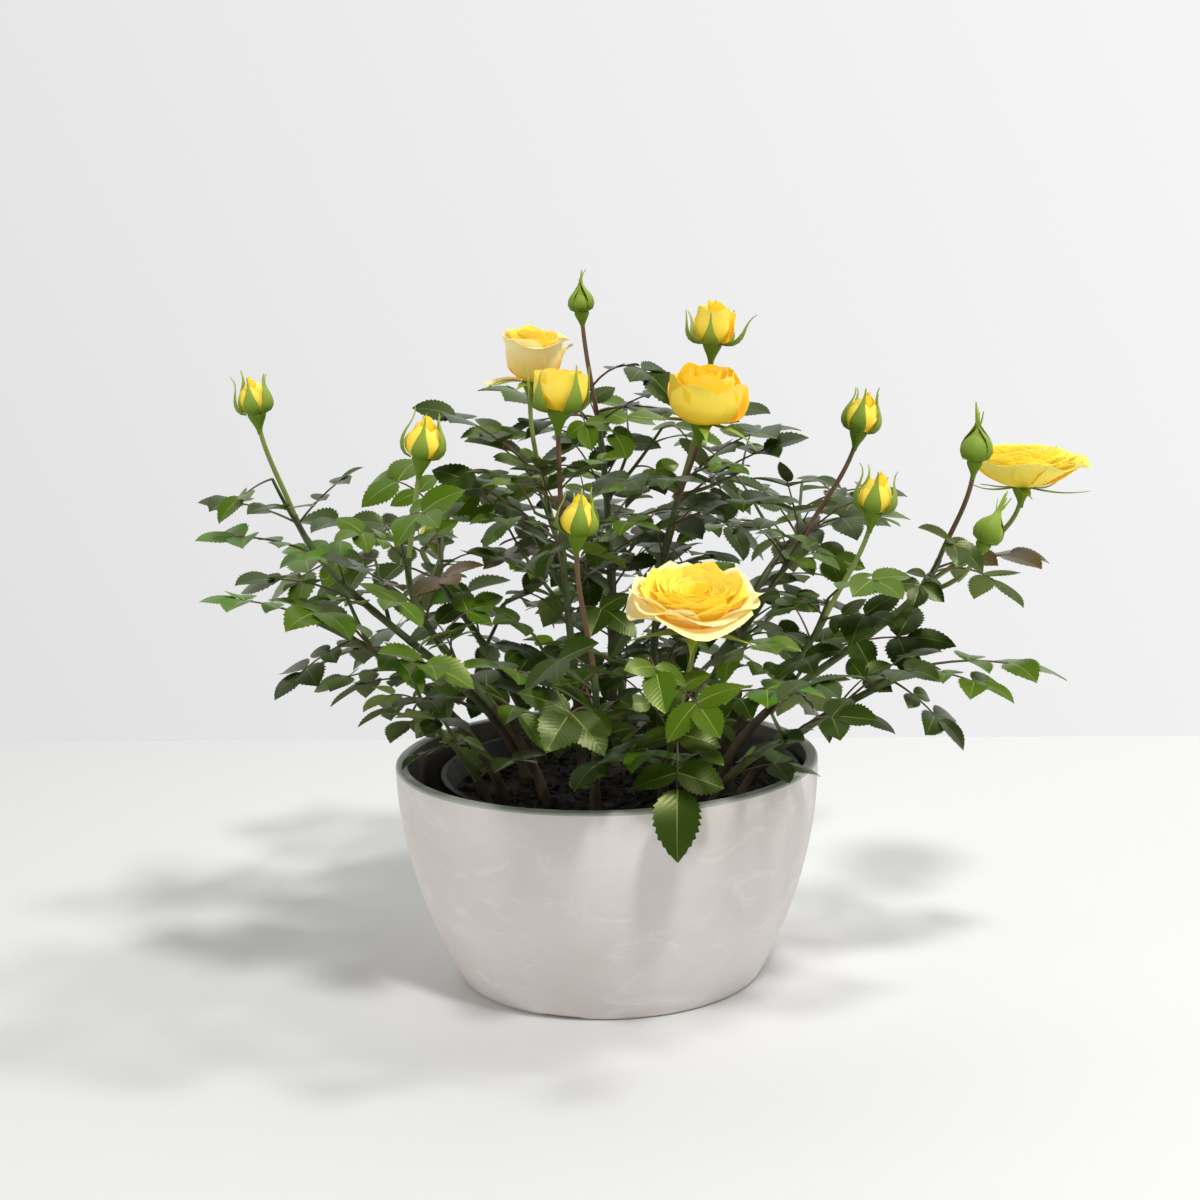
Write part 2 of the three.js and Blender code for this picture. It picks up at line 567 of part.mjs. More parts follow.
function bloomBody(bloom) {
  const sides = bloom.petals * 2;
  const rows = bloom.rings.map(([radius, height, wave = 0]) => list(sides, (k) => {
    const angle = (2 * Math.PI * k) / sides;
    const swell = wave * (k % 2 ? -1 : 1);
    const out = radius * (1 + swell);
    return V(out * Math.cos(angle), out * Math.sin(angle), height + radius * swell * 0.6);
  }));
  const foot = fan([...rows[0]].reverse(), V(0, 0, bloom.rings[0][1]));
  const crown = fan(rows.at(-1), V(0, 0, bloom.rings.at(-1)[1]));
  const sideFaces = rows.slice(1).flatMap((row, i) => band(rows[i], row));
  return onStalk(bloom, fromFaces([...sideFaces, ...foot, ...crown]));
}

// Five narrow blades that leave the hip under the bloom, each of six faces.
function sepals(bloom) {
  const { rise, length, width } = bloom.sepals;
  return list(5, (i) => {
    const angle = (2 * Math.PI * (i + 0.5)) / 5;
    const way = wayTo(angle, rise);
    const base = wayTo(angle, 0).multiplyScalar(1.2).setZ(2.4);
    const { tip, left, right, top } = leaflet(base, way, wayTo(angle, rise + Math.PI / 2), length);
    const narrow = width / (length * LEAFLET.widthShare);
    const [l, r] = [left, right].map((corner) => corner.lerp(top, 1 - narrow));
    return onStalk(bloom, fromFaces([...fan([base, r, tip, l], top), [base, l, tip], [base, tip, r]]));
  });
}

// ---------- one mass: stem, stalks, twigs, leaves and blooms, fused ----------
function foliage(cane, seed) {
  const speed = cane.path.getPoint(CANE.entry + 0.01).distanceTo(cane.path.getPoint(CANE.entry)) / 0.01;
  const stem = pointsOf(cane.path, 6, CANE.entry + GAP / speed);
  const pieces = [solid(limb(stem, taper(CANE.entryRadius, CANE.headRadius, stem.length), 4))];
  for (const bloom of cane.blooms) {
    const stalk = pointsOf(bloom.stalk, STALK_STEPS);
    if (!bloom.from) stalk[0].addScaledVector(bloom.stalk.getTangent(0), -1);
    pieces.push(solid(limb(stalk, taper(STALK.rootRadius, STALK.tipRadius, stalk.length), 4)));
    pieces.push(bloomBody(bloom));
    if (bloom.sepals) pieces.push(...sepals(bloom));
  }
  const { leaves, twigs } = growMass(cane, seed);
  pieces.push(...twigs.map((twig) => solid(limb(twig, taper(TWIG.rootRadius, TWIG.tipRadius, 3), 3))));
  pieces.push(...leaves.map(leafSolid));
  addNode(`foliage_${cane.name}`, geometryOf(fuse(pieces)), '#3a652b', 0.55);
}

bowl();
growPot();
soil();
canes.forEach(bareCane);
canes.forEach((cane, index) => foliage(cane, index + 1));

export default plant;
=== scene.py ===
"""A miniature yellow rose bush in a black grow pot, standing in a low washed bowl."""

import math

import bpy
import numpy as np
from mathutils import Matrix, Vector, noise


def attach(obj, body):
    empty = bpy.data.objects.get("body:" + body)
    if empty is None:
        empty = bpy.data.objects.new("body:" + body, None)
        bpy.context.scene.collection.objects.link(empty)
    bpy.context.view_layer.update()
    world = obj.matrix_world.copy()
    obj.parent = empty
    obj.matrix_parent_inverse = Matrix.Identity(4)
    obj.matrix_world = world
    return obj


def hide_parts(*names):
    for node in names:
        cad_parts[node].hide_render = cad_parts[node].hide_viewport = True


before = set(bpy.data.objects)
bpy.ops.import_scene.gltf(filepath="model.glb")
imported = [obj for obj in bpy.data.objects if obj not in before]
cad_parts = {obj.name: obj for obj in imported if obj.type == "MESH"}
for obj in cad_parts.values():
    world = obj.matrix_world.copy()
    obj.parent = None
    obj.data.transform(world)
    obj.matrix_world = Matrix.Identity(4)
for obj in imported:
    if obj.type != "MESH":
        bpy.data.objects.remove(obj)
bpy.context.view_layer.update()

# ---------- camera ----------
# A short telephoto lens stands a metre in front of the bowl at the height of the top flowers. It looks
# slightly down, and is not quite level.
def put_in(name, data):
    """A new object in the scene, with this data."""
    made = bpy.data.objects.new(name, data)
    bpy.context.scene.collection.objects.link(made)
    return made


camera = put_in("camera", bpy.data.cameras.new("camera"))
camera.data.lens = 59.73
camera.data.sensor_width = 36
LOOK_DOWN, TURN, ROLL = math.radians(10.14), math.radians(0.08), math.radians(-1.44)
camera.matrix_world = (
    Matrix.Translation((0, -0.966, 0.361))
    @ Matrix.Rotation(TURN, 4, "Z")
    @ Matrix.Rotation(math.pi / 2 - LOOK_DOWN, 4, "X")
    @ Matrix.Rotation(ROLL, 4, "Z")
)
bpy.context.scene.camera = camera
bpy.context.scene.view_settings.view_transform = "Standard"


# ---------- studio ----------
# A white laminate table top in a pale room. Two soft lights stand high, one in front and one to the right, and
# a smaller one high behind. Two wide weak fills stand low at the sides. Soft shadows fall to every side.
def linear(colour):
    """The linear value of an sRGB hex colour, with an alpha of one."""
    shares = [int(colour[i : i + 2], 16) / 255 for i in (1, 3, 5)]
    return [s / 12.92 if s <= 0.04045 else ((s + 0.055) / 1.055) ** 2.4 for s in shares] + [1]


def add_node(tree, kind, inputs=None, **settings):
    """Adds a node. An input is a value, an output socket, or another node, which stands for its first output."""
    made = tree.nodes.new(kind)
    for name, value in settings.items():
        setattr(made, name, value)
    for key, value in (inputs or {}).items():
        value = value.outputs[0] if isinstance(value, bpy.types.Node) else value
        if isinstance(value, bpy.types.NodeSocket):
            tree.links.new(value, made.inputs[key])
        else:
            made.inputs[key].default_value = value
    return made


def new_material(name, **sockets):
    """A material whose Principled shader has these values. An underscore stands for a space."""
    material = bpy.data.materials.new(name)
    material.use_nodes = True
    shader = material.node_tree.nodes["Principled BSDF"]
    for socket, value in sockets.items():
        shader.inputs[socket.replace("_", " ")].default_value = value
    return material, material.node_tree, shader


def flat_sheet(name, corners, material):
    """One flat four-cornered sheet of the studio."""
    mesh = bpy.data.meshes.new(name)
    mesh.from_pydata(corners, [], [(0, 1, 2, 3)])
    mesh.materials.append(material)
    return put_in(name, mesh)


def new_emulsion(name):
    """Wall paint with lamps of its own. It glows into the room, and is clear when looked at from outside."""
    paint = bpy.data.materials.new(name)
    paint.use_nodes = True
    tree = paint.node_tree
    tree.nodes.clear()
    lit = add_node(tree, "ShaderNodeEmission")
    outside = add_node(tree, "ShaderNodeNewGeometry").outputs["Backfacing"]
    clear = add_node(tree, "ShaderNodeBsdfTransparent")
    either = add_node(tree, "ShaderNodeMixShader", {0: outside, 1: lit, 2: clear})
    add_node(tree, "ShaderNodeOutputMaterial", {0: either})
    return paint, tree, lit


# The table ends at the back wall, which isn't quite square to the camera. Sizes are in metres.
TABLE_HALF, WALL_BACK, WALL_SLANT = 3, 0.469, -0.072 / 0.89
laminate, tree, shader = new_material("white_laminate", Base_Color=linear("#e8e8e7"), Roughness=0.5)
back_right, back_left = ((x, WALL_BACK + WALL_SLANT * x) for x in (TABLE_HALF, -TABLE_HALF))
front_left, front_right = (-TABLE_HALF, -TABLE_HALF), (TABLE_HALF, -TABLE_HALF)
corners = [(*at, 0) for at in (front_left, front_right, back_right, back_left)]
table_top = flat_sheet("table_top", corners, laminate)

# The back wall glows brighter to the right and towards its top. This is painted light, as the room's light falls on
# it.
back_paint, tree, lit = new_emulsion("pale_wall_emulsion")
place = add_node(tree, "ShaderNodeTexCoord").outputs["Object"]
parts_of = add_node(tree, "ShaderNodeSeparateXYZ", {0: place})
slope = add_node(
    tree, "ShaderNodeMath", {0: parts_of.outputs["Z"], 1: 0.5, 2: parts_of.outputs["X"]}, operation="MULTIPLY_ADD"
)
across = add_node(tree, "ShaderNodeMapRange", {"Value": slope, 1: -0.6, 2: 0.75})
pale = add_node(tree, "ShaderNodeMix", {0: across, 6: linear("#dedede"), 7: linear("#f7f7f7")}, data_type="RGBA")
tree.links.new(pale.outputs[2], lit.inputs["Color"])

# The other three walls are less lit.
side_paint, tree, lit = new_emulsion("dim_wall_emulsion")
lit.inputs["Color"].default_value = linear("#f0f0f0")
lit.inputs["Strength"].default_value = 0.42
near_right, near_left = (2.4, -2.2), (-2.4, -2.2)
for name, a, b, height, paint in (
    ("back_wall", back_left, back_right, 2.5, back_paint),
    ("right_wall", back_right, near_right, 1.5, side_paint),
    ("front_wall", near_right, near_left, 1.5, side_paint),
    ("left_wall", near_left, back_left, 1.5, side_paint),
):
    wall = flat_sheet(name, [(*a, 0), (*b, 0), (*b, height), (*a, height)], paint)

room = bpy.data.worlds.new("dim_room")
bpy.context.scene.world = room
room.use_nodes = True
room.node_tree.nodes["Background"].inputs["Color"].default_value = linear("#f2f2f4")
room.node_tree.nodes["Background"].inputs["Strength"].default_value = 0.03

LIGHTS = {  # the way to it, its distance and width in metres, and its power in watts
    "front_softbox": ((0.2, -0.48, 0.87), 2.6, 0.34, 34),
    "overhead_softbox": ((0.52, 0.02, 0.86), 2.6, 0.34, 20),
    "rear_softbox": ((0.3, 0.5, 0.81), 2.6, 0.26, 17),
    "left_fill": ((-0.9, -0.36, 0.24), 2.6, 1.2, 15),
    "right_fill": ((0.9, -0.36, 0.24), 2.6, 1.2, 8),
}
for name, (way, distance, width, power) in LIGHTS.items():
    lamp = bpy.data.lights.new(name, "AREA")
    lamp.shape = "DISK"
    lamp.size = width
    lamp.energy = power
    light = put_in(name, lamp)
    light.location = Vector(way).normalized() * distance
    light.rotation_euler = Vector(way).to_track_quat("Z", "Y").to_euler()

# ---------- bowl ----------
# A planter bowl cast in fibre stone, with a thick turned-looking wall and a small notch in the foot. A thin
# off-white wash is brushed over a pinkish grey body, and the cut rim is left smooth. The rim's green tint is a
# painted reflection of the leaves above it, and the inside is darkened with painted shade.
MM = 0.001  # the object's own sizes are in millimetres
BOWL_HEIGHT, BOWL_RIM, BOWL_FOOT, BOWL_WALL, BOWL_FLOOR = 110, 105, 75.6, 5.8, 8
NOTCH_BEARING, NOTCH_HALF, NOTCH_LIFT = math.radians(-109), math.radians(6.5), 0.9
BOWL_ROUND, BOWL_STEPS = 1.4, 144  # the radius of the rim's two edges, and the steps of a turn


def turned(profile, steps):
    """Points and faces of a closed turned surface. The profile is (radius, height) from its lower pole."""
    bearings = np.arange(steps) * 2 * math.pi / steps
    rings = [np.stack([r * np.cos(bearings), r * np.sin(bearings), np.full(steps, z)], 1) for r, z in profile[1:-1]]
    points = np.vstack([[(0, 0, profile[0][1])], *rings, [(0, 0, profile[-1][1])]])
    ring = lambda i, k: 1 + i * steps + k % steps
    top = len(rings) - 1
    faces = [(0, ring(0, k + 1), ring(0, k)) for k in range(steps)]
    for i in range(top):
        faces += [(ring(i, k), ring(i, k + 1), ring(i + 1, k + 1), ring(i + 1, k)) for k in range(steps)]
    faces += [(len(points) - 1, ring(top, k), ring(top, k + 1)) for k in range(steps)]
    return points, faces


def make_piece(name, points, faces, materials, kinds=None, uvs=None, sharp=40):
    """A smooth-shaded mesh object from points in millimetres, with sharp edges over an angle in degrees."""
    mesh = bpy.data.meshes.new(name)
    mesh.from_pydata((np.asarray(points) * MM).tolist(), [], [tuple(map(int, face)) for face in faces])
    for material in materials:
        mesh.materials.append(material)
    if kinds is not None:
        mesh.polygons.foreach_set("material_index", list(kinds))
    if uvs is not None:
        corners = np.zeros(len(mesh.loops), np.int32)
        mesh.loops.foreach_get("vertex_index", corners)
        mesh.uv_layers.new(name="UVMap").data.foreach_set("uv", np.asarray(uvs)[corners].ravel())
    mesh.shade_smooth()
    mesh.set_sharp_from_angle(angle=math.radians(sharp))
    return put_in(name, mesh)


def mottled(name, roughness, colours, scale, stretch=None, relief=None, **more):
    """A material whose colour runs between two by a noise, which may also raise it by a strength and a depth."""
    material, tree, shader = new_material(name, Roughness=roughness)
    place = add_node(tree, "ShaderNodeTexCoord").outputs["Object"]
    if stretch:
        place = add_node(tree, "ShaderNodeMapping", {"Vector": place, "Scale": stretch})
    pattern = add_node(tree, "ShaderNodeTexNoise", {"Vector": place, "Scale": scale, **more})
    first, second = map(linear, colours)
    colour = add_node(tree, "ShaderNodeMix", {0: pattern, 6: first, 7: second}, data_type="RGBA")
    tree.links.new(colour.outputs[2], shader.inputs["Base Color"])
    if relief:
        bump = add_node(tree, "ShaderNodeBump", {"Height": pattern, "Strength": relief[0], "Distance": relief[1]})
        tree.links.new(bump.outputs[0], shader.inputs["Normal"])
    return material


def bowl_radius(z):
    return BOWL_RIM - (BOWL_RIM - BOWL_FOOT) * (1 - z / BOWL_HEIGHT) ** 2


outer = [(bowl_radius(z), z) for z in np.linspace(1.6, BOWL_HEIGHT - BOWL_ROUND, 26)]
rim_round = [(BOWL_ROUND * (1 - math.cos(a)), BOWL_ROUND * math.sin(a)) for a in (0.4, 0.8, 1.2, math.pi / 2)]
rim_out = [(BOWL_RIM - x, BOWL_HEIGHT - BOWL_ROUND + z) for x, z in rim_round]
rim_in = [(BOWL_RIM - BOWL_WALL + x, BOWL_HEIGHT - BOWL_ROUND + z) for x, z in reversed(rim_round)]
inner = [(bowl_radius(z) - BOWL_WALL, z) for z in np.linspace(BOWL_HEIGHT - BOWL_ROUND, BOWL_FLOOR, 12)]
foot = [(0, 0), (BOWL_FOOT - 1.6, 0), (BOWL_FOOT - 0.5, 0.5)]
profile = foot + outer + rim_out + rim_in + inner + [(0, BOWL_FLOOR)]
points, faces = turned(profile, BOWL_STEPS)
bearings = np.arctan2(points[:, 1], points[:, 0])
under_notch = (np.abs(bearings - NOTCH_BEARING) < NOTCH_HALF) & (points[:, 2] < 1.7)
under_notch &= np.hypot(points[:, 0], points[:, 1]) > BOWL_FOOT - 2
points[under_notch, 2] += NOTCH_LIFT * (1 - points[under_notch, 2] / 2)
rim_start = len(foot) + len(outer) - 1
rim_end = rim_start + len(rim_out) + len(rim_in)
bands = np.repeat(np.arange(len(profile) - 1), BOWL_STEPS)
kinds = np.where(bands < rim_start, 0, np.where(bands < rim_end, 1, 2))

# The wash: cloudy and slightly pink, with pale dry-brushed wisps some 10 mm long and a fine cast grit.
washed, tree, shader = new_material("lime_washed_fibre_stone", Roughness=0.78)
place = add_node(tree, "ShaderNodeTexCoord").outputs["Object"]
clouds = add_node(tree, "ShaderNodeTexNoise", {"Vector": place, "Scale": 17, "Detail": 4})
body = add_node(tree, "ShaderNodeValToRGB", {"Fac": clouds})
for stop, at, colour in zip(body.color_ramp.elements, (0.36, 0.66), ("#d7cfc9", "#e3ddd9")):
    stop.position, stop.color = at, linear(colour)
flattened = add_node(tree, "ShaderNodeMapping", {"Vector": place, "Scale": (1, 1, 2.2)})
wisps = add_node(
    tree, "ShaderNodeTexNoise",
    {"Vector": flattened, "Scale": 34, "Detail": 9, "Roughness": 0.7, "Distortion": 0.8},
)
brushed = add_node(tree, "ShaderNodeMapRange", {"Value": wisps, 1: 0.54, 2: 0.72, 4: 0.6})
colour = add_node(tree, "ShaderNodeMix", {0: brushed, 6: body, 7: linear("#f0eeea")}, data_type="RGBA")
tree.links.new(colour.outputs[2], shader.inputs["Base Color"])
grit = add_node(tree, "ShaderNodeTexNoise", {"Vector": place, "Scale": 700, "Detail": 2})
relief = add_node(tree, "ShaderNodeMath", {0: grit, 1: 0.35, 2: wisps}, operation="MULTIPLY_ADD")
bump = add_node(tree, "ShaderNodeBump", {"Height": relief, "Strength": 0.25, "Distance": 0.0006})
tree.links.new(bump.outputs[0], shader.inputs["Normal"])

# The cut rim: denser and smoother, so it mirrors some of the leaves above it. Its grey-green colour is partly a
# painted reflection of those leaves.
rim_with_painted_reflection = mottled("trowelled_stone_rim", 0.36, ("#8f958c", "#b9bdb3"), 60, Detail=5)

# The inside: raw fibre stone with no wash. Its colour is darkened as painted shade inside the bowl.
inner_wall_painted_shade = mottled("raw_fibre_stone", 0.85, ("#4b453e", "#857c72"), 35, Detail=5)

bowl = make_piece("planter_bowl", points, faces, [washed, rim_with_painted_reflection, inner_wall_painted_shade], kinds, sharp=50)
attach(bowl, "root")
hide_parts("bowl")

# ---------- grow pot ----------
# The nursery pot that the rose was sold in: thin black polypropylene, vacuum formed, with a rolled lip. It
# stands loose in the bowl, a little to the right.
POT_SHIFT, POT_FOOT, POT_RIM, POT_TOP, POT_WALL, POT_LIP = 7, 58, 90, 104, 1.2, 3
POT_UNDER = BOWL_FLOOR + 0.3


def pot_radius(z):
    return POT_FOOT + (POT_RIM - POT_LIP - POT_FOOT) * (z - POT_UNDER) / (POT_TOP - POT_UNDER)


lip = [math.radians(angle) for angle in range(-60, 181, 30)]
half = POT_LIP / 2
lip_round = [(POT_RIM - half + half * math.cos(a), POT_TOP - half + half * math.sin(a)) for a in lip]
profile = [(0, POT_UNDER), (POT_FOOT - 2, POT_UNDER), (POT_FOOT, POT_UNDER + 2)]
profile += [(pot_radius(z), z) for z in (40, 70, 96)] + [(pot_radius(97) + 0.6, 99.5)] + lip_round
profile += [(pot_radius(97) - POT_WALL, 98), (pot_radius(12) - POT_WALL, 12), (0, 12)]
points, faces = turned(profile, 96)
black, tree, shader = new_material("black_polypropylene", Base_Color=linear("#1d1b1a"), Roughness=0.42)
place = add_node(tree, "ShaderNodeTexCoord").outputs["Object"]
dust = add_node(tree, "ShaderNodeTexNoise", {"Vector": place, "Scale": 180, "Detail": 6})
dulled = add_node(tree, "ShaderNodeMapRange", {"Value": dust, 3: 0.3, 4: 0.65})
tree.links.new(dulled.outputs[0], shader.inputs["Roughness"])
grow_pot = make_piece("nursery_pot", points + (POT_SHIFT, 0, 0), faces, [black])
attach(grow_pot, "root")
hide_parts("grow_pot")

# ---------- soil ----------
# Moist peat and composted bark, nearly black. Its top is lumpy, and it is strewn with torn bark chips and
# crumbs that lie as they fell.
SOIL_UNDER, SOIL_FOOT, SOIL_SHOULDER, SOIL_TOP, SOIL_EDGE, LUMP = 11, 56, 90, 93.5, 81, 2.6
rings = np.linspace(0, 1, 30)[1:]
profile = [(0, SOIL_UNDER), (SOIL_FOOT, SOIL_UNDER), (SOIL_EDGE, SOIL_SHOULDER)]
profile += [(SOIL_EDGE * share, SOIL_TOP) for share in rings[::-1]] + [(0, SOIL_TOP)]
points, faces = turned(profile, 90)
for i in np.flatnonzero(points[:, 2] > SOIL_TOP - 1):
    points[i, 2] += LUMP * noise.fractal(Vector(points[i]) * 0.055, 0.8, 2.1, 5)

colours, relief = ("#080503", "#241a12"), (0.9, 0.0015)
compost = mottled("moist_bark_compost", 0.92, colours, 260, relief=relief, Detail=6, Roughness=0.7)
soil = make_piece("compost", points + (POT_SHIFT, 0, 0), faces, [compost])
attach(soil, "root")
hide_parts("soil")

bark_chip, tree, shader = new_material("torn_bark", Base_Color=linear("#21170f"), Roughness=0.85)


def new_tree(name, *sockets):
    """A Geometry Nodes tree with a geometry in and out, and more inputs given as (name, kind, value)."""
    tree = bpy.data.node_groups.new(name, "GeometryNodeTree")
    tree.interface.new_socket("Geometry", in_out="INPUT", socket_type="NodeSocketGeometry")
    for socket, kind, value in sockets:
        made = tree.interface.new_socket(socket, in_out="INPUT", socket_type="NodeSocket" + kind)
        if value is not None:
            made.default_value = value
    tree.interface.new_socket("Geometry", in_out="OUTPUT", socket_type="NodeSocketGeometry")
    return tree, add_node(tree, "NodeGroupInput").outputs


def settle(carrier, name, tree, **inputs):
    """Runs a Geometry Nodes tree on a carrier object and returns the result as a plain mesh piece."""
    modifier = carrier.modifiers.new(tree.name, "NODES")
    modifier.node_group = tree
    for item in tree.interface.items_tree:
        if item.name in inputs and item.in_out == "INPUT":
            modifier[item.identifier] = inputs[item.name]
    graph = bpy.context.evaluated_depsgraph_get()
    mesh = bpy.data.meshes.new_from_object(carrier.evaluated_get(graph))
    carrier.modifiers.remove(modifier)
    mesh.name = name
    return put_in(name, mesh)


def made_real(tree, geometry, material):
    """Turns a tree's instances into plain faces of one material."""
    real = add_node(tree, "GeometryNodeRealizeInstances", {0: geometry})
    return add_node(tree, "GeometryNodeSetMaterial", {"Geometry": real, "Material": material})


def chip_form(name, size, seed):
    """One torn lump: a stretched box whose corners are pulled about."""
    draw = np.random.RandomState(seed)
    corners = np.array([(x, y, z) for x in (-1, 1) for y in (-1, 1) for z in (-1, 1)], float)
    corners = corners * np.array(size) / 2 * draw.uniform(0.45, 1.15, (8, 3))
    sides = [(0, 1, 3, 2), (4, 6, 7, 5), (0, 4, 5, 1), (2, 3, 7, 6), (0, 2, 6, 4), (1, 5, 7, 3)]
    form = make_piece(name, corners, sides, [bark_chip], sharp=20)
    bpy.context.scene.collection.objects.unlink(form)
    return form


chips = bpy.data.collections.new("bark_chips")
for i, size in enumerate([(9, 4, 1.6), (6, 3, 1.4), (3, 2.4, 1.8), (2, 1.6, 1.3), (12, 1.6, 1.1)]):
    chips.objects.link(chip_form(f"chip_{i}", size, i))

strew, given = new_tree(
    "strew", ("Forms", "Collection", None), ("Density", "Float", 60000.0), ("Seed", "Int", 3),
    ("Finish", "Material", None),
)
up = add_node(strew, "GeometryNodeInputNormal")
upright = add_node(strew, "ShaderNodeSeparateXYZ", {0: up})
level = add_node(strew, "FunctionNodeCompare", {0: upright.outputs["Z"], 1: 0.5}, operation="GREATER_THAN")
spots = add_node(
    strew, "GeometryNodeDistributePointsOnFaces",
    {"Mesh": given["Geometry"], "Selection": level, "Density": given["Density"], "Seed": given["Seed"]},
)
tumble = add_node(
    strew, "FunctionNodeRandomValue", {0: (-0.5, -0.5, 0), 1: (0.5, 0.5, 6.28)}, data_type="FLOAT_VECTOR"
)
sizes = add_node(strew, "FunctionNodeRandomValue", {2: 0.6, 3: 1.25}, data_type="FLOAT")
forms = add_node(strew, "GeometryNodeCollectionInfo", {"Collection": given["Forms"], 1: True, 2: True})
placed = add_node(
    strew, "GeometryNodeInstanceOnPoints",
    {"Points": spots, "Instance": forms, "Pick Instance": True, "Rotation": tumble, "Scale": sizes.outputs[1]},
)
add_node(strew, "NodeGroupOutput", {0: made_real(strew, placed, given["Finish"])})
bark = settle(soil, "bark_chips", strew, Forms=chips, Finish=bark_chip)
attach(bark, "root")

# ---------- how the plant grows ----------
# Canes rise from the soil and fan out, each with its own share of the crown. Leaves and twigs spring from
# their nodes wherever there is room, and blooms end them. Lengths are in millimetres.
CANE_FOOT, CANE_RADII, CANE_ENTRY = 94.3, (3.2, 2.1, 1.5), 0.3
CROWN = {"axis": (10, 8), "radius": 222, "dome": (190, 104), "under": 114, "rise": 0.55, "lean": (-0.25, -0.2)}
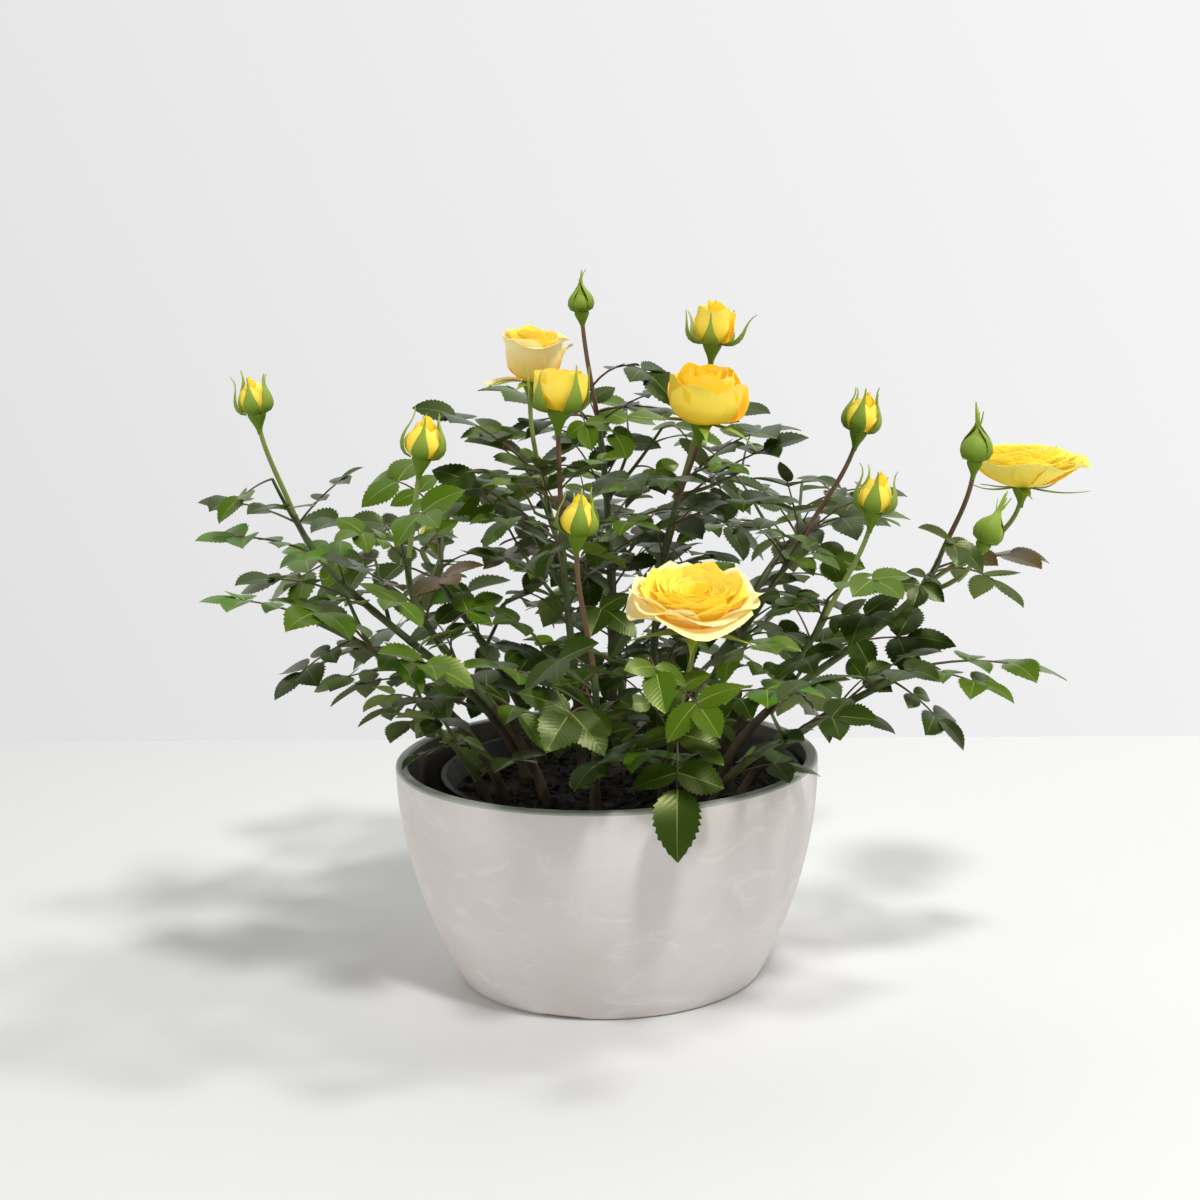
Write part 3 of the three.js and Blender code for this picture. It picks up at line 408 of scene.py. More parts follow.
# One row for each cane: where it leaves the soil, the head where its leafy part ends, its leaf nodes, how far
# round they turn from the outward side, its blooms, and the leaves that reach furthest. A bloom that forks off
# lower down says from which share of the cane, and a flushed stalk says red. A leaf that reaches has a share of
# the cane, its tip and colour, and its arch and longest leaflets if they differ.
CANES = [
    {"name": "left_high", "foot": (-40, 12), "head": (-150, 2, 234), "nodes": 4, "turn": 120,
     "blooms": [{"kind": "bud", "size": 17, "base": (-165, 0, 281), "lean": (-0.12, 0)}],
     "reach": [(0.97, (-199, 12, 240), "dark"), (0.86, (-194, -24, 226), "fresh"),
               (0.97, (-116, 8, 256), "dark")]},
    {"name": "left_low", "foot": (-52, -12), "head": (-138, -58, 194), "nodes": 6, "turn": 120, "blooms": [],
     "reach": [(0.97, (-186, -62, 203), "fresh"), (0.8, (-152, -72, 158), "dark"),
               (0.6, (-140, -30, 152), "mid")]},
    {"name": "left_front", "foot": (-30, -32), "head": (-90, -47, 219), "nodes": 9, "turn": 150,
     "blooms": [{"kind": "bud", "size": 19, "base": (-83, -45, 262), "lean": (0.2, 0)}],
     "reach": [(0.8, (-128, -70, 224), "dark")]},
    {"name": "low_left", "foot": (-58, -34), "head": (-92, -66, 150), "nodes": 6, "turn": 150, "blooms": [],
     "reach": []},
    {"name": "centre", "foot": (-12, -2), "head": (-19, -14, 230), "nodes": 12, "turn": 180,
     "blooms": [{"kind": "half", "size": 31, "base": (-19, -15, 280), "lean": (0.05, -0.05), "red": True},
                {"kind": "fading", "size": 35, "base": (-33, 20, 292), "lean": (0.1, -0.1), "from": 0.8}],
     "reach": [(0.96, (-62, -34, 232), "mid"), (0.9, (-82, 4, 254), "dark")]},
    {"name": "centre_back", "foot": (4, 40), "head": (0, 62, 270), "nodes": 9, "turn": 180,
     "blooms": [{"kind": "green", "size": 11.5, "base": (-7, 62, 324), "lean": (-0.05, 0), "red": True}],
     "reach": [(1, (42, 48, 288), "dark"), (0.99, (-62, 66, 288), "mid")]},
    {"name": "centre_right", "foot": (22, 8), "head": (38, 14, 234), "nodes": 10, "turn": 180,
     "blooms": [{"kind": "cup", "size": 44, "base": (50, 8, 271), "lean": (0.15, -0.15), "red": True},
                {"kind": "opening", "size": 20, "base": (58, 42, 307), "lean": (0.1, 0), "from": 0.86}],
     "reach": [(0.99, (104, 18, 264), "dark"), (0.9, (96, -16, 236), "dark")]},
    {"name": "front_left", "foot": (-6, -46), "head": (-5, -72, 168), "nodes": 7, "turn": 160,
     "blooms": [{"kind": "bud", "size": 18, "base": (-11, -70, 228), "lean": (0.1, 0), "red": True}],
     "reach": [(0.8, (-66, -102, 176), "mid")]},
    {"name": "front_right", "foot": (26, -42), "head": (35, -78, 154), "nodes": 6, "turn": 160,
     "blooms": [{"kind": "open", "size": 65, "base": (41, -82, 185), "lean": (0.02, -0.26)}],
     "reach": [(0.86, (30, -127, 93), "dark", 0.2, (22, 23)), (0.97, (98, -104, 160), "fresh")]},
    {"name": "right_high", "foot": (38, 26), "head": (104, 42, 212), "nodes": 7, "turn": 150,
     "blooms": [{"kind": "bud", "size": 19, "base": (131, 42, 261), "lean": (0.25, 0), "red": True}],
     "reach": [(0.97, (90, 22, 252), "dark")]},
    {"name": "right_middle", "foot": (50, -8), "head": (106, -34, 184), "nodes": 7, "turn": 150,
     "blooms": [{"kind": "bud", "size": 18, "base": (128, -34, 230), "lean": (0.2, 0)}],
     "reach": [(0.99, (82, -66, 200), "dark")]},
    {"name": "right_far", "foot": (58, 12), "head": (165, -4, 205), "nodes": 0, "turn": 120,
     "blooms": [{"kind": "green", "size": 15, "base": (178, -24, 252), "lean": (0.1, 0), "red": True},
                {"kind": "flat", "size": 62, "base": (207, 6, 235), "lean": (0.04, 0), "from": 0.86},
                {"kind": "green", "size": 14, "base": (178, -44, 216), "lean": (0.45, 0), "from": 0.8}],
     "reach": [(0.96, (224, 18, 198), "bronze")]},
    {"name": "right_low", "foot": (66, -22), "head": (152, -40, 160), "nodes": 6, "turn": 120, "blooms": [],
     "reach": [(0.99, (221, -36, 150), "mid"), (0.84, (168, -56, 122), "dark"),
               (0.95, (190, -64, 146), "mid")]},
    {"name": "low_right", "foot": (48, -52), "head": (84, -84, 138), "nodes": 6, "turn": 150, "blooms": [],
     "reach": []},
    {"name": "back_left", "foot": (-34, 48), "head": (-96, 104, 200), "nodes": 3, "turn": 150,
     "blooms": [{"kind": "bud", "size": 18, "base": (-91, 132, 195), "lean": (-0.2, 0.5)}],
     "reach": [(0.9, (-168, 122, 214), "dark")]},
    {"name": "back", "foot": (10, 62), "head": (14, 132, 190), "nodes": 3, "turn": 150,
     "blooms": [{"kind": "cup", "size": 42, "base": (44, 172, 148), "lean": (0.3, 0.9)}],
     "reach": [(0.97, (8, 196, 186), "dark")]},
    {"name": "back_right", "foot": (46, 50), "head": (112, 104, 208), "nodes": 4, "turn": 150, "blooms": [],
     "reach": [(0.9, (172, 130, 206), "mid")]},
]
UP = np.array([0.0, 0.0, 1.0])


def unit(vector):
    return vector / np.linalg.norm(vector)


def between(ends, share):
    return ends[0] + (ends[1] - ends[0]) * share


def seeded(seed):
    """A repeatable draw from 0 to 1, by Lehmer's rule."""
    state = (seed * 7919 + 104729) % 2147483647

    def draw():
        nonlocal state
        state = state * 48271 % 2147483647
        return state / 2147483647

    return draw


def bezier(a, b, c, d):
    """The points of a cubic curve at one share of its way, or at many."""

    def at(share):
        t = np.asarray(share, float)[..., None]
        return (1 - t) ** 3 * a + 3 * (1 - t) ** 2 * t * b + 3 * (1 - t) * t * t * c + t**3 * d

    return at


def tangent(path, share):
    near, far = max(0, share - 1e-4), min(1, share + 1e-4)
    return unit(path(far) - path(near))


def cane_path(row):
    """Up out of the soil, outwards, and to the head, pointing at the first bloom if there is one."""
    start, end = np.array([*row["foot"], CANE_FOOT]), np.array(row["head"], float)
    outward = (end - start) * (1, 1, 0)
    aim = outward + (0, 0, np.linalg.norm(outward) * 0.5)
    if row["blooms"]:
        aim = np.array(row["blooms"][0]["base"]) - end
    low = start + outward * 0.14
    low[2] = start[2] + (end[2] - start[2]) * 0.42
    high = end - unit(aim) * 0.3 * np.linalg.norm(end - start)
    return bezier(start, low, high, end)


def stalk_path(path, bloom):
    """From the cane, in line with it or at a fork, to upright under the bloom."""
    start = path(bloom.get("from", 1))
    third = np.linalg.norm(bloom["base"] - start) / 3
    leave = unit(bloom["base"] - start) if "from" in bloom else tangent(path, 1)
    return bezier(start, start + leave * third, bloom["base"] - bloom["axis"] * third, bloom["base"])


def bloom_space(kind, r):
    """The height of a bloom's middle over its base, its radius, and half its height."""
    if kind in ("open", "flat"):
        return 11, r + 2, 15
    if kind in ("cup", "half", "fading"):
        return 4 + r * 0.75, r * 1.35, r * 1.3
    return 3 + r * 1.2, r * 1.5, r * 2


for cane in CANES:
    cane["path"] = cane_path(cane)
    cane["lines"] = [cane["path"](np.linspace(0, 1, 13))]
    for bloom in cane["blooms"]:
        bloom["base"] = np.array(bloom["base"], float)
        bloom["axis"] = unit(np.array([*bloom["lean"], 1]))
        bloom["path"] = stalk_path(cane["path"], bloom)
        bloom["space"] = bloom_space(bloom["kind"], bloom["size"] / 2)
        cane["lines"].append(bloom["path"](np.linspace(0, 1, 5)))

# Every straight step of every limb's middle line, with the number of the cane that owns it.
step_from = np.vstack([line[:-1] for cane in CANES for line in cane["lines"]])
step_to = np.vstack([line[1:] for cane in CANES for line in cane["lines"]])
step_owner = np.array([i for i, cane in enumerate(CANES) for line in cane["lines"] for _ in line[1:]])
step_way = step_to - step_from
step_square = (step_way**2).sum(1)
blooms = [bloom for cane in CANES for bloom in cane["blooms"]]
bloom_axis = np.array([bloom["axis"] for bloom in blooms])
bloom_size = np.array([bloom["space"][1:] for bloom in blooms])
bloom_middle = np.array([bloom["base"] + bloom["axis"] * bloom["space"][0] for bloom in blooms])


# How far leaves and twigs keep, in millimetres, from a bloom's space, their own cane and other canes' limbs.
OFF_BLOOM, OFF_CANE, OFF_LIMB = 2, 3.7, 0.9


def keeps_in(points, owner, margin=OFF_LIMB, under=CROWN["under"]):
    """True if the points lie in a cane's own space, clear of limbs, blooms and pot, inside the crown."""
    x, y, z = points.T
    over_soil = np.hypot(x - POT_SHIFT, y) < POT_RIM - 16
    over_wall = ~over_soil & (np.hypot(x, y) < BOWL_RIM + 4)
    if (over_wall & (z < BOWL_HEIGHT + 3)).any():
        return False
    dx, dy = x - CROWN["axis"][0], y - CROWN["axis"][1]
    out = np.hypot(dx, dy)
    if (out > CROWN["radius"]).any():
        return False
    slope = CROWN["rise"] + (CROWN["lean"][0] * dx + CROWN["lean"][1] * dy) / out
    floor = under + slope * np.maximum(0, out - BOWL_RIM)
    middle, height = CROWN["dome"]
    if ((z < floor) | (z > middle + height * np.sqrt(1 - (out / CROWN["radius"]) ** 2))).any():
        return False
    from_bloom = points[:, None] - bloom_middle
    along = (from_bloom * bloom_axis).sum(2)
    aside = np.linalg.norm(from_bloom - along[..., None] * bloom_axis, axis=2)
    wide, high = (bloom_size + OFF_BLOOM).T
    if ((aside / wide) ** 2 + (along / high) ** 2 < 1).any():
        return False
    offset = points[:, None] - step_from
    share = np.clip((offset * step_way).sum(2) / step_square, 0, 1)
    gap = np.linalg.norm(offset - share[..., None] * step_way, axis=2)
    own = gap[:, step_owner == owner]
    if (own[:, :4].min(1) < OFF_CANE).any():
        return False
    return (gap[:, step_owner != owner].min(1) > np.maximum(own.min(1) + margin, OFF_LIMB)).all()


# A compound leaf is an arched stalk with pairs of leaflets and an end leaflet. Their places and sizes are
# shares of its length.
PAIRS = {5: ((0.31, 0.28), (0.6, 0.4)), 3: ((0.5, 0.42),)}
END_AT = {5: 0.66, 3: 0.57}
PAIR_ANGLE, PAIR_DROOP, WIDTH_SHARE, WIDEST, FOLD = math.radians(72), 0.12, 0.75, 0.45, 0.1
LEAF_LENGTH, LEAF_SAG, LEAF_ROLL, LEAF_RISE = (62, 80), (0.08, 0.22), math.radians(38), (-42, 30)
TWIG_LENGTH, TWIG_RISE, TWIG_CURL = (26, 40), (25, 55), 0.15
LONGEST = (25, 27)  # no leaflet of a pair or at an end is longer; a longer leaf has more bare stalk


def way_to(bearing, rise):
    return np.array([math.cos(bearing) * math.cos(rise), math.sin(bearing) * math.cos(rise), math.sin(rise)])


class Leaf:
    """The stalk's line and the leaflets' places, as (base, way, normal, length)."""

    def __init__(self, root, tip, sag, roll, count, tint=None, longest=LONGEST):
        self.root, self.span, self.roll, self.count, self.tint = root, tip - root, roll, count, tint
        self.length = np.linalg.norm(self.span)
        self.arch = 4 * sag * self.length * UP
        self.end_at = max(END_AT[count], 1 - longest[1] / self.length)
        self.leaflets = []
        for at, size in PAIRS[count]:
            along, side, normal = self.frame(at)
            for hand in (-1, 1):
                way = along * math.cos(PAIR_ANGLE) + side * (hand * math.sin(PAIR_ANGLE)) - normal * PAIR_DROOP
                self.leaflets.append((self.point(at), unit(way), normal, min(size * self.length, longest[0])))
        way = tip - self.point(self.end_at)
        normal = self.frame((1 + self.end_at) / 2)[2]
        self.leaflets.append((self.point(self.end_at), unit(way), normal, np.linalg.norm(way)))

    def point(self, share):
        return self.root + self.span * share + self.arch * (share * (1 - share))

    def frame(self, share):
        along = unit(self.point(share + 0.02) - self.point(share - 0.02))
        side = unit(np.cross(along, (0, 1, 0) if abs(along[2]) > 0.97 else UP))
        side = side * math.cos(self.roll) + np.cross(along, side) * math.sin(self.roll)
        return along, side, unit(np.cross(side, along))

    def test_points(self):
        points = [self.point(self.end_at * 0.5), self.point(self.end_at)]
        for base, way, normal, size in self.leaflets:
            flat = unit(normal - way * (normal @ way))
            middle = base + way * (size * WIDEST)
            lifted = middle + flat * (size * FOLD)
            half = np.cross(way, flat) * (size * WIDTH_SHARE / 2)
            points += [base + way * size, lifted - half, lifted + half, middle + flat * 0.3]
        return np.array(points)

    def middles(self):
        return np.array([base + way * (size * WIDEST) + normal * 0.3 for base, way, normal, size in self.leaflets])


def limb_point(cane, share):
    """A point on the cane, or past its head on its first flower's stalk or its second's."""
    if share <= 1:
        return cane["path"](share)
    stalk = cane["blooms"][int(share) - 1]
    return stalk["path"](share % 1)


def given_leaf(cane, share, tip, tint, sag=0.08, longest=LONGEST):
    """A leaf of five leaflets from a share of a limb to a given tip."""
    return Leaf(limb_point(cane, share), np.array(tip, float), sag, 0, 5, tint, longest)


reaching = [[given_leaf(cane, *row) for row in cane["reach"]] for cane in CANES]
SHRINK = ((1, 5), (0.85, 5), (0.7, 5), (0.6, 3))  # how a leaf gets smaller as its tries go on


def grow_leaf(owner, leaves, root, facing, turn, scale, draw, tries=40, spacing=14, others=(), **space):
    """Tries directions, ever smaller, and keeps the first leaf that fits."""
    near = np.vstack([leaf.middles() for group in (leaves, others, *reaching) for leaf in group])
    for attempt in range(tries):
        size, count = SHRINK[attempt * len(SHRINK) // tries]
        bearing = facing + turn * (2 * draw() - 1)
        rise = math.radians(between(LEAF_RISE, draw()))
        length = between(LEAF_LENGTH, draw()) * scale * size
        sag = between(LEAF_SAG, draw())
        roll = LEAF_ROLL * (2 * draw() - 1)
        leaf = Leaf(root, root + way_to(bearing, rise) * length, sag, roll, count)
        gaps = np.linalg.norm(leaf.middles()[:, None] - near, axis=2)
        if gaps.min() >= spacing and keeps_in(leaf.test_points(), owner, **space):
            leaves.append(leaf)
            return True
    return False


def twig_line(root, bearing, rise, length):
    shares = np.array([0, 0.5, 1])[:, None]
    return root + way_to(bearing, rise) * length * shares + UP * length * TWIG_CURL * shares**2


def outward_bearing(cane):
    return math.atan2(cane["head"][1] - CROWN["axis"][1], cane["head"][0] - CROWN["axis"][0])


def grow_mass(owner, cane):
    """The source's rule: a leaf at each node, and at every second one a twig with an end leaf and another."""
    facing = outward_bearing(cane)
    turn = math.radians(cane["turn"])
    leaves, twigs = list(reaching[owner]), []
    for k in range(cane["nodes"]):
        draw = seeded((owner + 1) * 100 + k)
        root = cane["path"](between((CANE_ENTRY, 1), (k + 0.6) / cane["nodes"]))
        hand = 1 if k % 2 else -1
        grow_leaf(owner, leaves, root, facing + hand * turn * 0.45, turn * 0.5, 1, draw)
        if hand < 0:
            continue
        side = -1 if k % 4 == 1 else 1
        bearing = facing + side * turn * between((0.2, 0.6), draw())
        rise = math.radians(between(TWIG_RISE, draw()))
        twig = twig_line(root, bearing, rise, between(TWIG_LENGTH, draw()))
        if not keeps_in(twig[1:], owner):
            continue
        if not grow_leaf(owner, leaves, twig[2], bearing, 0.9, 0.9, draw):
            continue
        twigs.append(twig)
        grow_leaf(owner, leaves, twig[1], bearing - side * 0.8, 0.7, 0.85, draw)
    return leaves, twigs


def grow_finer(owner, cane, leaves, twigs, count, last):
    """Carries the rule on to finer twigs and more leaves between the ones that are there."""
    facing = outward_bearing(cane)
    others = [leaf for other in CANES if other is not cane for leaf in other["leaves"]]
    rule = {**FINER, "others": others}
    for k in range(count):
        draw = seeded((owner + 1) * 1000 + k)
        root = limb_point(cane, between((0.14, last), (k + 0.5) / count))
        bearing = facing + FINER_SPIRAL * k + 0.5 * (2 * draw() - 1)
        if k % 2:
            grow_leaf(owner, leaves, root, bearing, 0.8, between((0.8, 1), draw()), draw, **rule)
            continue
        rise = math.radians(between(FINER_RISE, draw()))
        twig = twig_line(root, bearing, rise, between(FINER_LENGTH, draw()))
        if not keeps_in(twig[1:], owner, FINER["margin"], FINER["under"]):
            continue
        if grow_leaf(owner, leaves, twig[2], bearing, 0.9, between((0.7, 1), draw()), draw, **rule):
            twigs.append(twig)
            grow_leaf(owner, leaves, twig[1], bearing + 0.9, 0.7, 0.8, draw, **rule)
            grow_leaf(owner, leaves, twig[1], bearing - 0.9, 0.7, 0.8, draw, **rule)


# Leaves that spring from the flower stalks: where they start, their tips, colour and arch.
TOP_LEAVES = {
    "centre": [(2.5, (-90, 0, 285), "dark", 0.12), (2.4, (-62, 34, 276), "mid", 0.1),
               (1.3, (12, -34, 262), "mid", 0.12), (1.15, (-64, -30, 256), "dark", 0.1),
               (2.3, (-30, -24, 262), "dark", 0.1)],
    "centre_back": [(1.35, (40, 34, 279), "dark", 0.3), (1.3, (-34, 40, 284), "dark", 0.2),
                    (1.1, (50, 60, 268), "mid", 0.12), (1.05, (-50, 50, 262), "dark", 0.12)],
    "centre_right": [(1.25, (100, 15, 268), "dark", 0.15), (1.3, (72, -14, 250), "mid", 0.15),
                     (1.1, (-4, -18, 244), "dark", 0.12), (2.5, (86, 60, 276), "dark", 0.12),
                     (1.15, (30, -34, 246), "dark", 0.12)],
}
FINER = {"tries": 20, "margin": -22, "under": 101, "spacing": 13}
FINER_SPIRAL, FINER_RISE, FINER_LENGTH = 2.4, (0, 50), (18, 46)
# How many finer nodes a cane has, and how far along it they go.
FINER_NODES = {
    "centre": (22, 1.3), "centre_back": (20, 1.3), "centre_right": (20, 1.3), "left_front": (16, 1),
    "front_left": (22, 0.8), "front_right": (20, 0.8), "low_left": (14, 0.8), "low_right": (8, 0.6),
    "right_far": (3, 1), "right_low": (2, 1), "left_high": (5, 1), "left_low": (5, 1), "back_left": (8, 1),
    "right_high": (8, 1), "right_middle": (8, 1), "back_right": (8, 1),
}
for owner, cane in enumerate(CANES):
    cane["leaves"], cane["twigs"] = grow_mass(owner, cane)
    cane["leaves"] += [given_leaf(cane, *row) for row in TOP_LEAVES.get(cane["name"], ())]
for owner, cane in enumerate(CANES):
    grow_finer(owner, cane, cane["leaves"], cane["twigs"], *FINER_NODES.get(cane["name"], (12, 1)))

# ---------- canes, twigs and stalks ----------
# Living rose wood. Young canes are smooth olive green, older feet are brown and ridged, and flower stalks
# are green or flushed red. Each limb swells a little where a leaf once stood.
sweep, given = new_tree(
    "sweep", ("Sides", "Int", 8), ("Relief", "Float", 0.0), ("Grain", "Float", 300.0), ("Bark", "Material", None)
)
curves = add_node(sweep, "GeometryNodeMeshToCurve", {"Mesh": given["Geometry"]})
ring = add_node(sweep, "GeometryNodeCurvePrimitiveCircle", {"Resolution": given["Sides"], "Radius": 1.0})
thickness = add_node(sweep, "GeometryNodeInputNamedAttribute", {"Name": "radius"}, data_type="FLOAT")
skin = add_node(
    sweep, "GeometryNodeCurveToMesh",
    {"Curve": curves, "Profile Curve": ring, "Scale": thickness, "Fill Caps": True},
)
grain = add_node(sweep, "ShaderNodeTexNoise", {"Scale": given["Grain"], "Detail": 3.0})
centred = add_node(sweep, "ShaderNodeMath", {0: grain, 1: 0.5}, operation="SUBTRACT")
depth = add_node(sweep, "ShaderNodeMath", {0: centred, 1: given["Relief"]}, operation="MULTIPLY")
outwards = add_node(sweep, "GeometryNodeInputNormal")
shift = add_node(sweep, "ShaderNodeVectorMath", {0: outwards, "Scale": depth}, operation="SCALE")
ridged = add_node(sweep, "GeometryNodeSetPosition", {"Geometry": skin, "Offset": shift})
smooth = add_node(sweep, "GeometryNodeSetShadeSmooth", {0: ridged})
add_node(sweep, "NodeGroupOutput", {0: made_real(sweep, smooth, given["Bark"])})


def grow_from(carrier, name, tree, **inputs):
    """Runs a tree on a bare carrier mesh, which isn't kept in the scene."""
    holder = put_in(carrier.name, carrier)
    piece = settle(holder, name, tree, **inputs)
    bpy.data.objects.remove(holder)
    piece.name = name
    return piece


def sweep_limbs(name, limbs, material, sides, relief=0.0):
    """One piece of many limbs, each given as its middle line and the radius at each point of it."""
    carrier = bpy.data.meshes.new(name)
    points = np.vstack([line for line, _ in limbs]) * MM
    edges, start = [], 0
    for line, _ in limbs:
        edges += [(start + i, start + i + 1) for i in range(len(line) - 1)]
        start += len(line)
    carrier.from_pydata(points.tolist(), edges, [])
    radii = np.concatenate([radius for _, radius in limbs]) * MM
    carrier.attributes.new("radius", "FLOAT", "POINT").data.foreach_set("value", radii)
    return grow_from(carrier, name, sweep, Sides=sides, Relief=relief * MM, Bark=material)


def living_bark(name, pale, deep, roughness):
    """Skin of a limb: two close colours in streaks some 4 mm long, and fine lengthwise ridges."""
    return mottled(name, roughness, (deep, pale), 240, (1, 1, 0.35), (0.5, 0.0004), Detail=4)


olive_bark = living_bark("olive_rose_cane", "#5c6a34", "#39431f", 0.55)
brown_bark = living_bark("brown_rose_wood", "#5b4a33", "#33291d", 0.8)
green_skin = living_bark("green_flower_stalk", "#8a9a45", "#6d7d35", 0.45)
red_skin = living_bark("flushed_flower_stalk", "#7d5a3c", "#5a4630", 0.45)
leaf_stalk = living_bark("red_brown_leaf_stalk", "#6d5237", "#4a3a28", 0.5)

NODE_SPACING, NODE_SWELL, NODE_WIDTH = 24, 0.14, 1.6


def swollen(line, radii):
    """The radii with a slight ring at each old leaf node."""
    run = np.concatenate([[0], np.cumsum(np.linalg.norm(np.diff(line, axis=0), axis=1))])
    from_node = np.abs((run + 9) % NODE_SPACING - NODE_SPACING / 2)
    return radii * (1 + NODE_SWELL * np.exp(-((from_node / NODE_WIDTH) ** 2)))


SUNK = 5  # how far a cane's foot goes down into the compost
OLD_STEPS = (20, 34, 34)  # how many of a cane's 90 steps are old wood
old_wood, young_wood, green_stalks, red_stalks = [], [], [], []
for i, cane in enumerate(CANES):
    shares = np.linspace(0, 1, 90)
    line = cane["path"](shares)
    radii = np.interp(shares, (0, 0.05, CANE_ENTRY, 1), (CANE_RADII[0], 2.7, *CANE_RADII[1:]))
    line = np.vstack([line[0] - (0, 0, SUNK), line])
    radii = swollen(line, np.concatenate([[CANE_RADII[0] + 0.4], radii]))
    cut = OLD_STEPS[i % 3]
    old_wood.append((line[: cut + 1], radii[: cut + 1]))
    young_wood.append((line[cut:], radii[cut:]))
    for bloom in cane["blooms"]:
        shares = np.linspace(0, 1, 24)
        stalk = (bloom["path"](shares), np.interp(shares, (0, 0.9, 1), (1.3, 1.15, 1.2)))
        (red_stalks if "red" in bloom else green_stalks).append(stalk)
shares = np.linspace(0, 1, 9)[:, None]
for cane in CANES:
    for root, middle, end in cane["twigs"]:
        pull = 2 * middle - (root + end) / 2
        curve = (1 - shares) ** 2 * root + 2 * (1 - shares) * shares * pull + shares**2 * end
        young_wood.append((curve, np.linspace(1.15, 0.75, 9)))

LIMB_PIECES = {
    "cane_feet": (old_wood, brown_bark, 10, 0.5, "cane_bark"),
    "canes_and_twigs": (young_wood, olive_bark, 8, 0.22, "cane_bark"),
    "green_flower_stalks": (green_stalks, green_skin, 10, 0.1, "foliage"),
    "flushed_flower_stalks": (red_stalks, red_skin, 10, 0.1, "foliage"),
}
for name, (limbs, material, sides, relief, slot) in LIMB_PIECES.items():
    piece = sweep_limbs(name, limbs, material, sides, relief)
    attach(piece, "root")
    if name == "cane_feet":
        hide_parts(*[f"cane_{cane['name']}" for cane in CANES])
    if name == "canes_and_twigs":
        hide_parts(*[f"foliage_{cane['name']}" for cane in CANES])

# ---------- leaf stalks ----------
# Thin living stalks, red-brown and arched. Each grows from a cane, a twig or a flower stalk, and carries the
# leaflets of one compound leaf.
stalks = []
for cane in CANES:
    for leaf in cane["leaves"]:
        shares = np.linspace(0, leaf.end_at + 0.03, 8)
        line = np.array([leaf.point(share) for share in shares])
        thin = 0.6 + 0.4 * min(1, leaf.length / 70)
        stalks.append((line, np.linspace(0.72, 0.42, 8) * thin))
piece = sweep_limbs("leaf_stalks", stalks, leaf_stalk, 5)
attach(piece, "root")

# ---------- leaflets ----------
# Toothed, pointed leaflets, glossy and dark above, paler and matt below, folded along a sunk pale midrib.
# Each compound leaf has one colour: most are dark, new ones are fresh green, and a few are bronze. Low in the crown
# more leaves are dealt the dark colour as painted shade.
TEETH, TOOTH = 11, 0.05
BLADE_WIDTH = 0.34  # half the width as a share of the length
VEIN_SLANT, VEIN_TURNS = 0.9, 62.0


def blade_half(share):
    return BLADE_WIDTH * (share / 0.42) ** 0.6 * ((1 - share) / 0.58) ** 0.9


def leaflet_form(name, fold, droop, cup, twist, seed, materials):
    """A closed thin blade one unit long: base at the origin, tip along X, upper side along Z."""
    draw = np.random.RandomState(seed)
    points, faces, kinds, uvs = [], [], [], []

    def add(along, aside, lift=0.0):
        z = fold * abs(aside) + droop * (along - along**2) * 1.4 - cup * aside**2 / BLADE_WIDTH + lift
        tilt = twist * along
        turned_aside = aside * math.cos(tilt) - z * math.sin(tilt)
        points.append((along, turned_aside, z * math.cos(tilt) + aside * math.sin(tilt)))
        uvs.append((along, 0.5 + aside))
        return len(points) - 1

    shares = np.linspace(0, 1, TEETH + 1)
    rib = [0.012 * (1 - share) + 0.002 for share in shares]
    under = [add(share, 0, -0.014) for share in shares]
    strips = [[add(share, hand * half, 0.004) for share, half in zip(shares, rib)] for hand in (-1, 1)]
    for i in range(TEETH):
        faces.append((strips[0][i], strips[0][i + 1], strips[1][i + 1], strips[1][i]))
        kinds.append(1)
    for hand, strip in zip((-1, 1), strips):
        notches = [add(s, hand * blade_half(s) * draw.uniform(0.97, 1.03)) for s in shares[1:-1]]
        edge = [strip[0], *notches, strip[-1]]
        for i in range(TEETH):
            share = shares[i] + 0.82 / TEETH
            reach = TOOTH * draw.uniform(0.7, 1.2) * min(1, 3.5 * (1 - share))
            tooth = add(share, hand * (blade_half(share) + reach))
            for kind, face in (
                (0, (strip[i], edge[i], tooth, edge[i + 1], strip[i + 1])),
                (2, (under[i], under[i + 1], edge[i + 1], tooth, edge[i])),
            ):
                face = tuple(dict.fromkeys(face))
                faces.append(face if hand < 0 else face[::-1])
                kinds.append(kind)
    faces += [(under[0], strips[0][0], strips[1][0]), (under[-1], strips[1][-1], strips[0][-1])]
    kinds += [2, 2]
    form = make_piece(name, np.array(points) / MM, faces, materials, None, uvs, sharp=75)
    form.data.attributes.new("part", "INT", "FACE").data.foreach_set("value", kinds)
    bpy.context.scene.collection.objects.unlink(form)
    return form


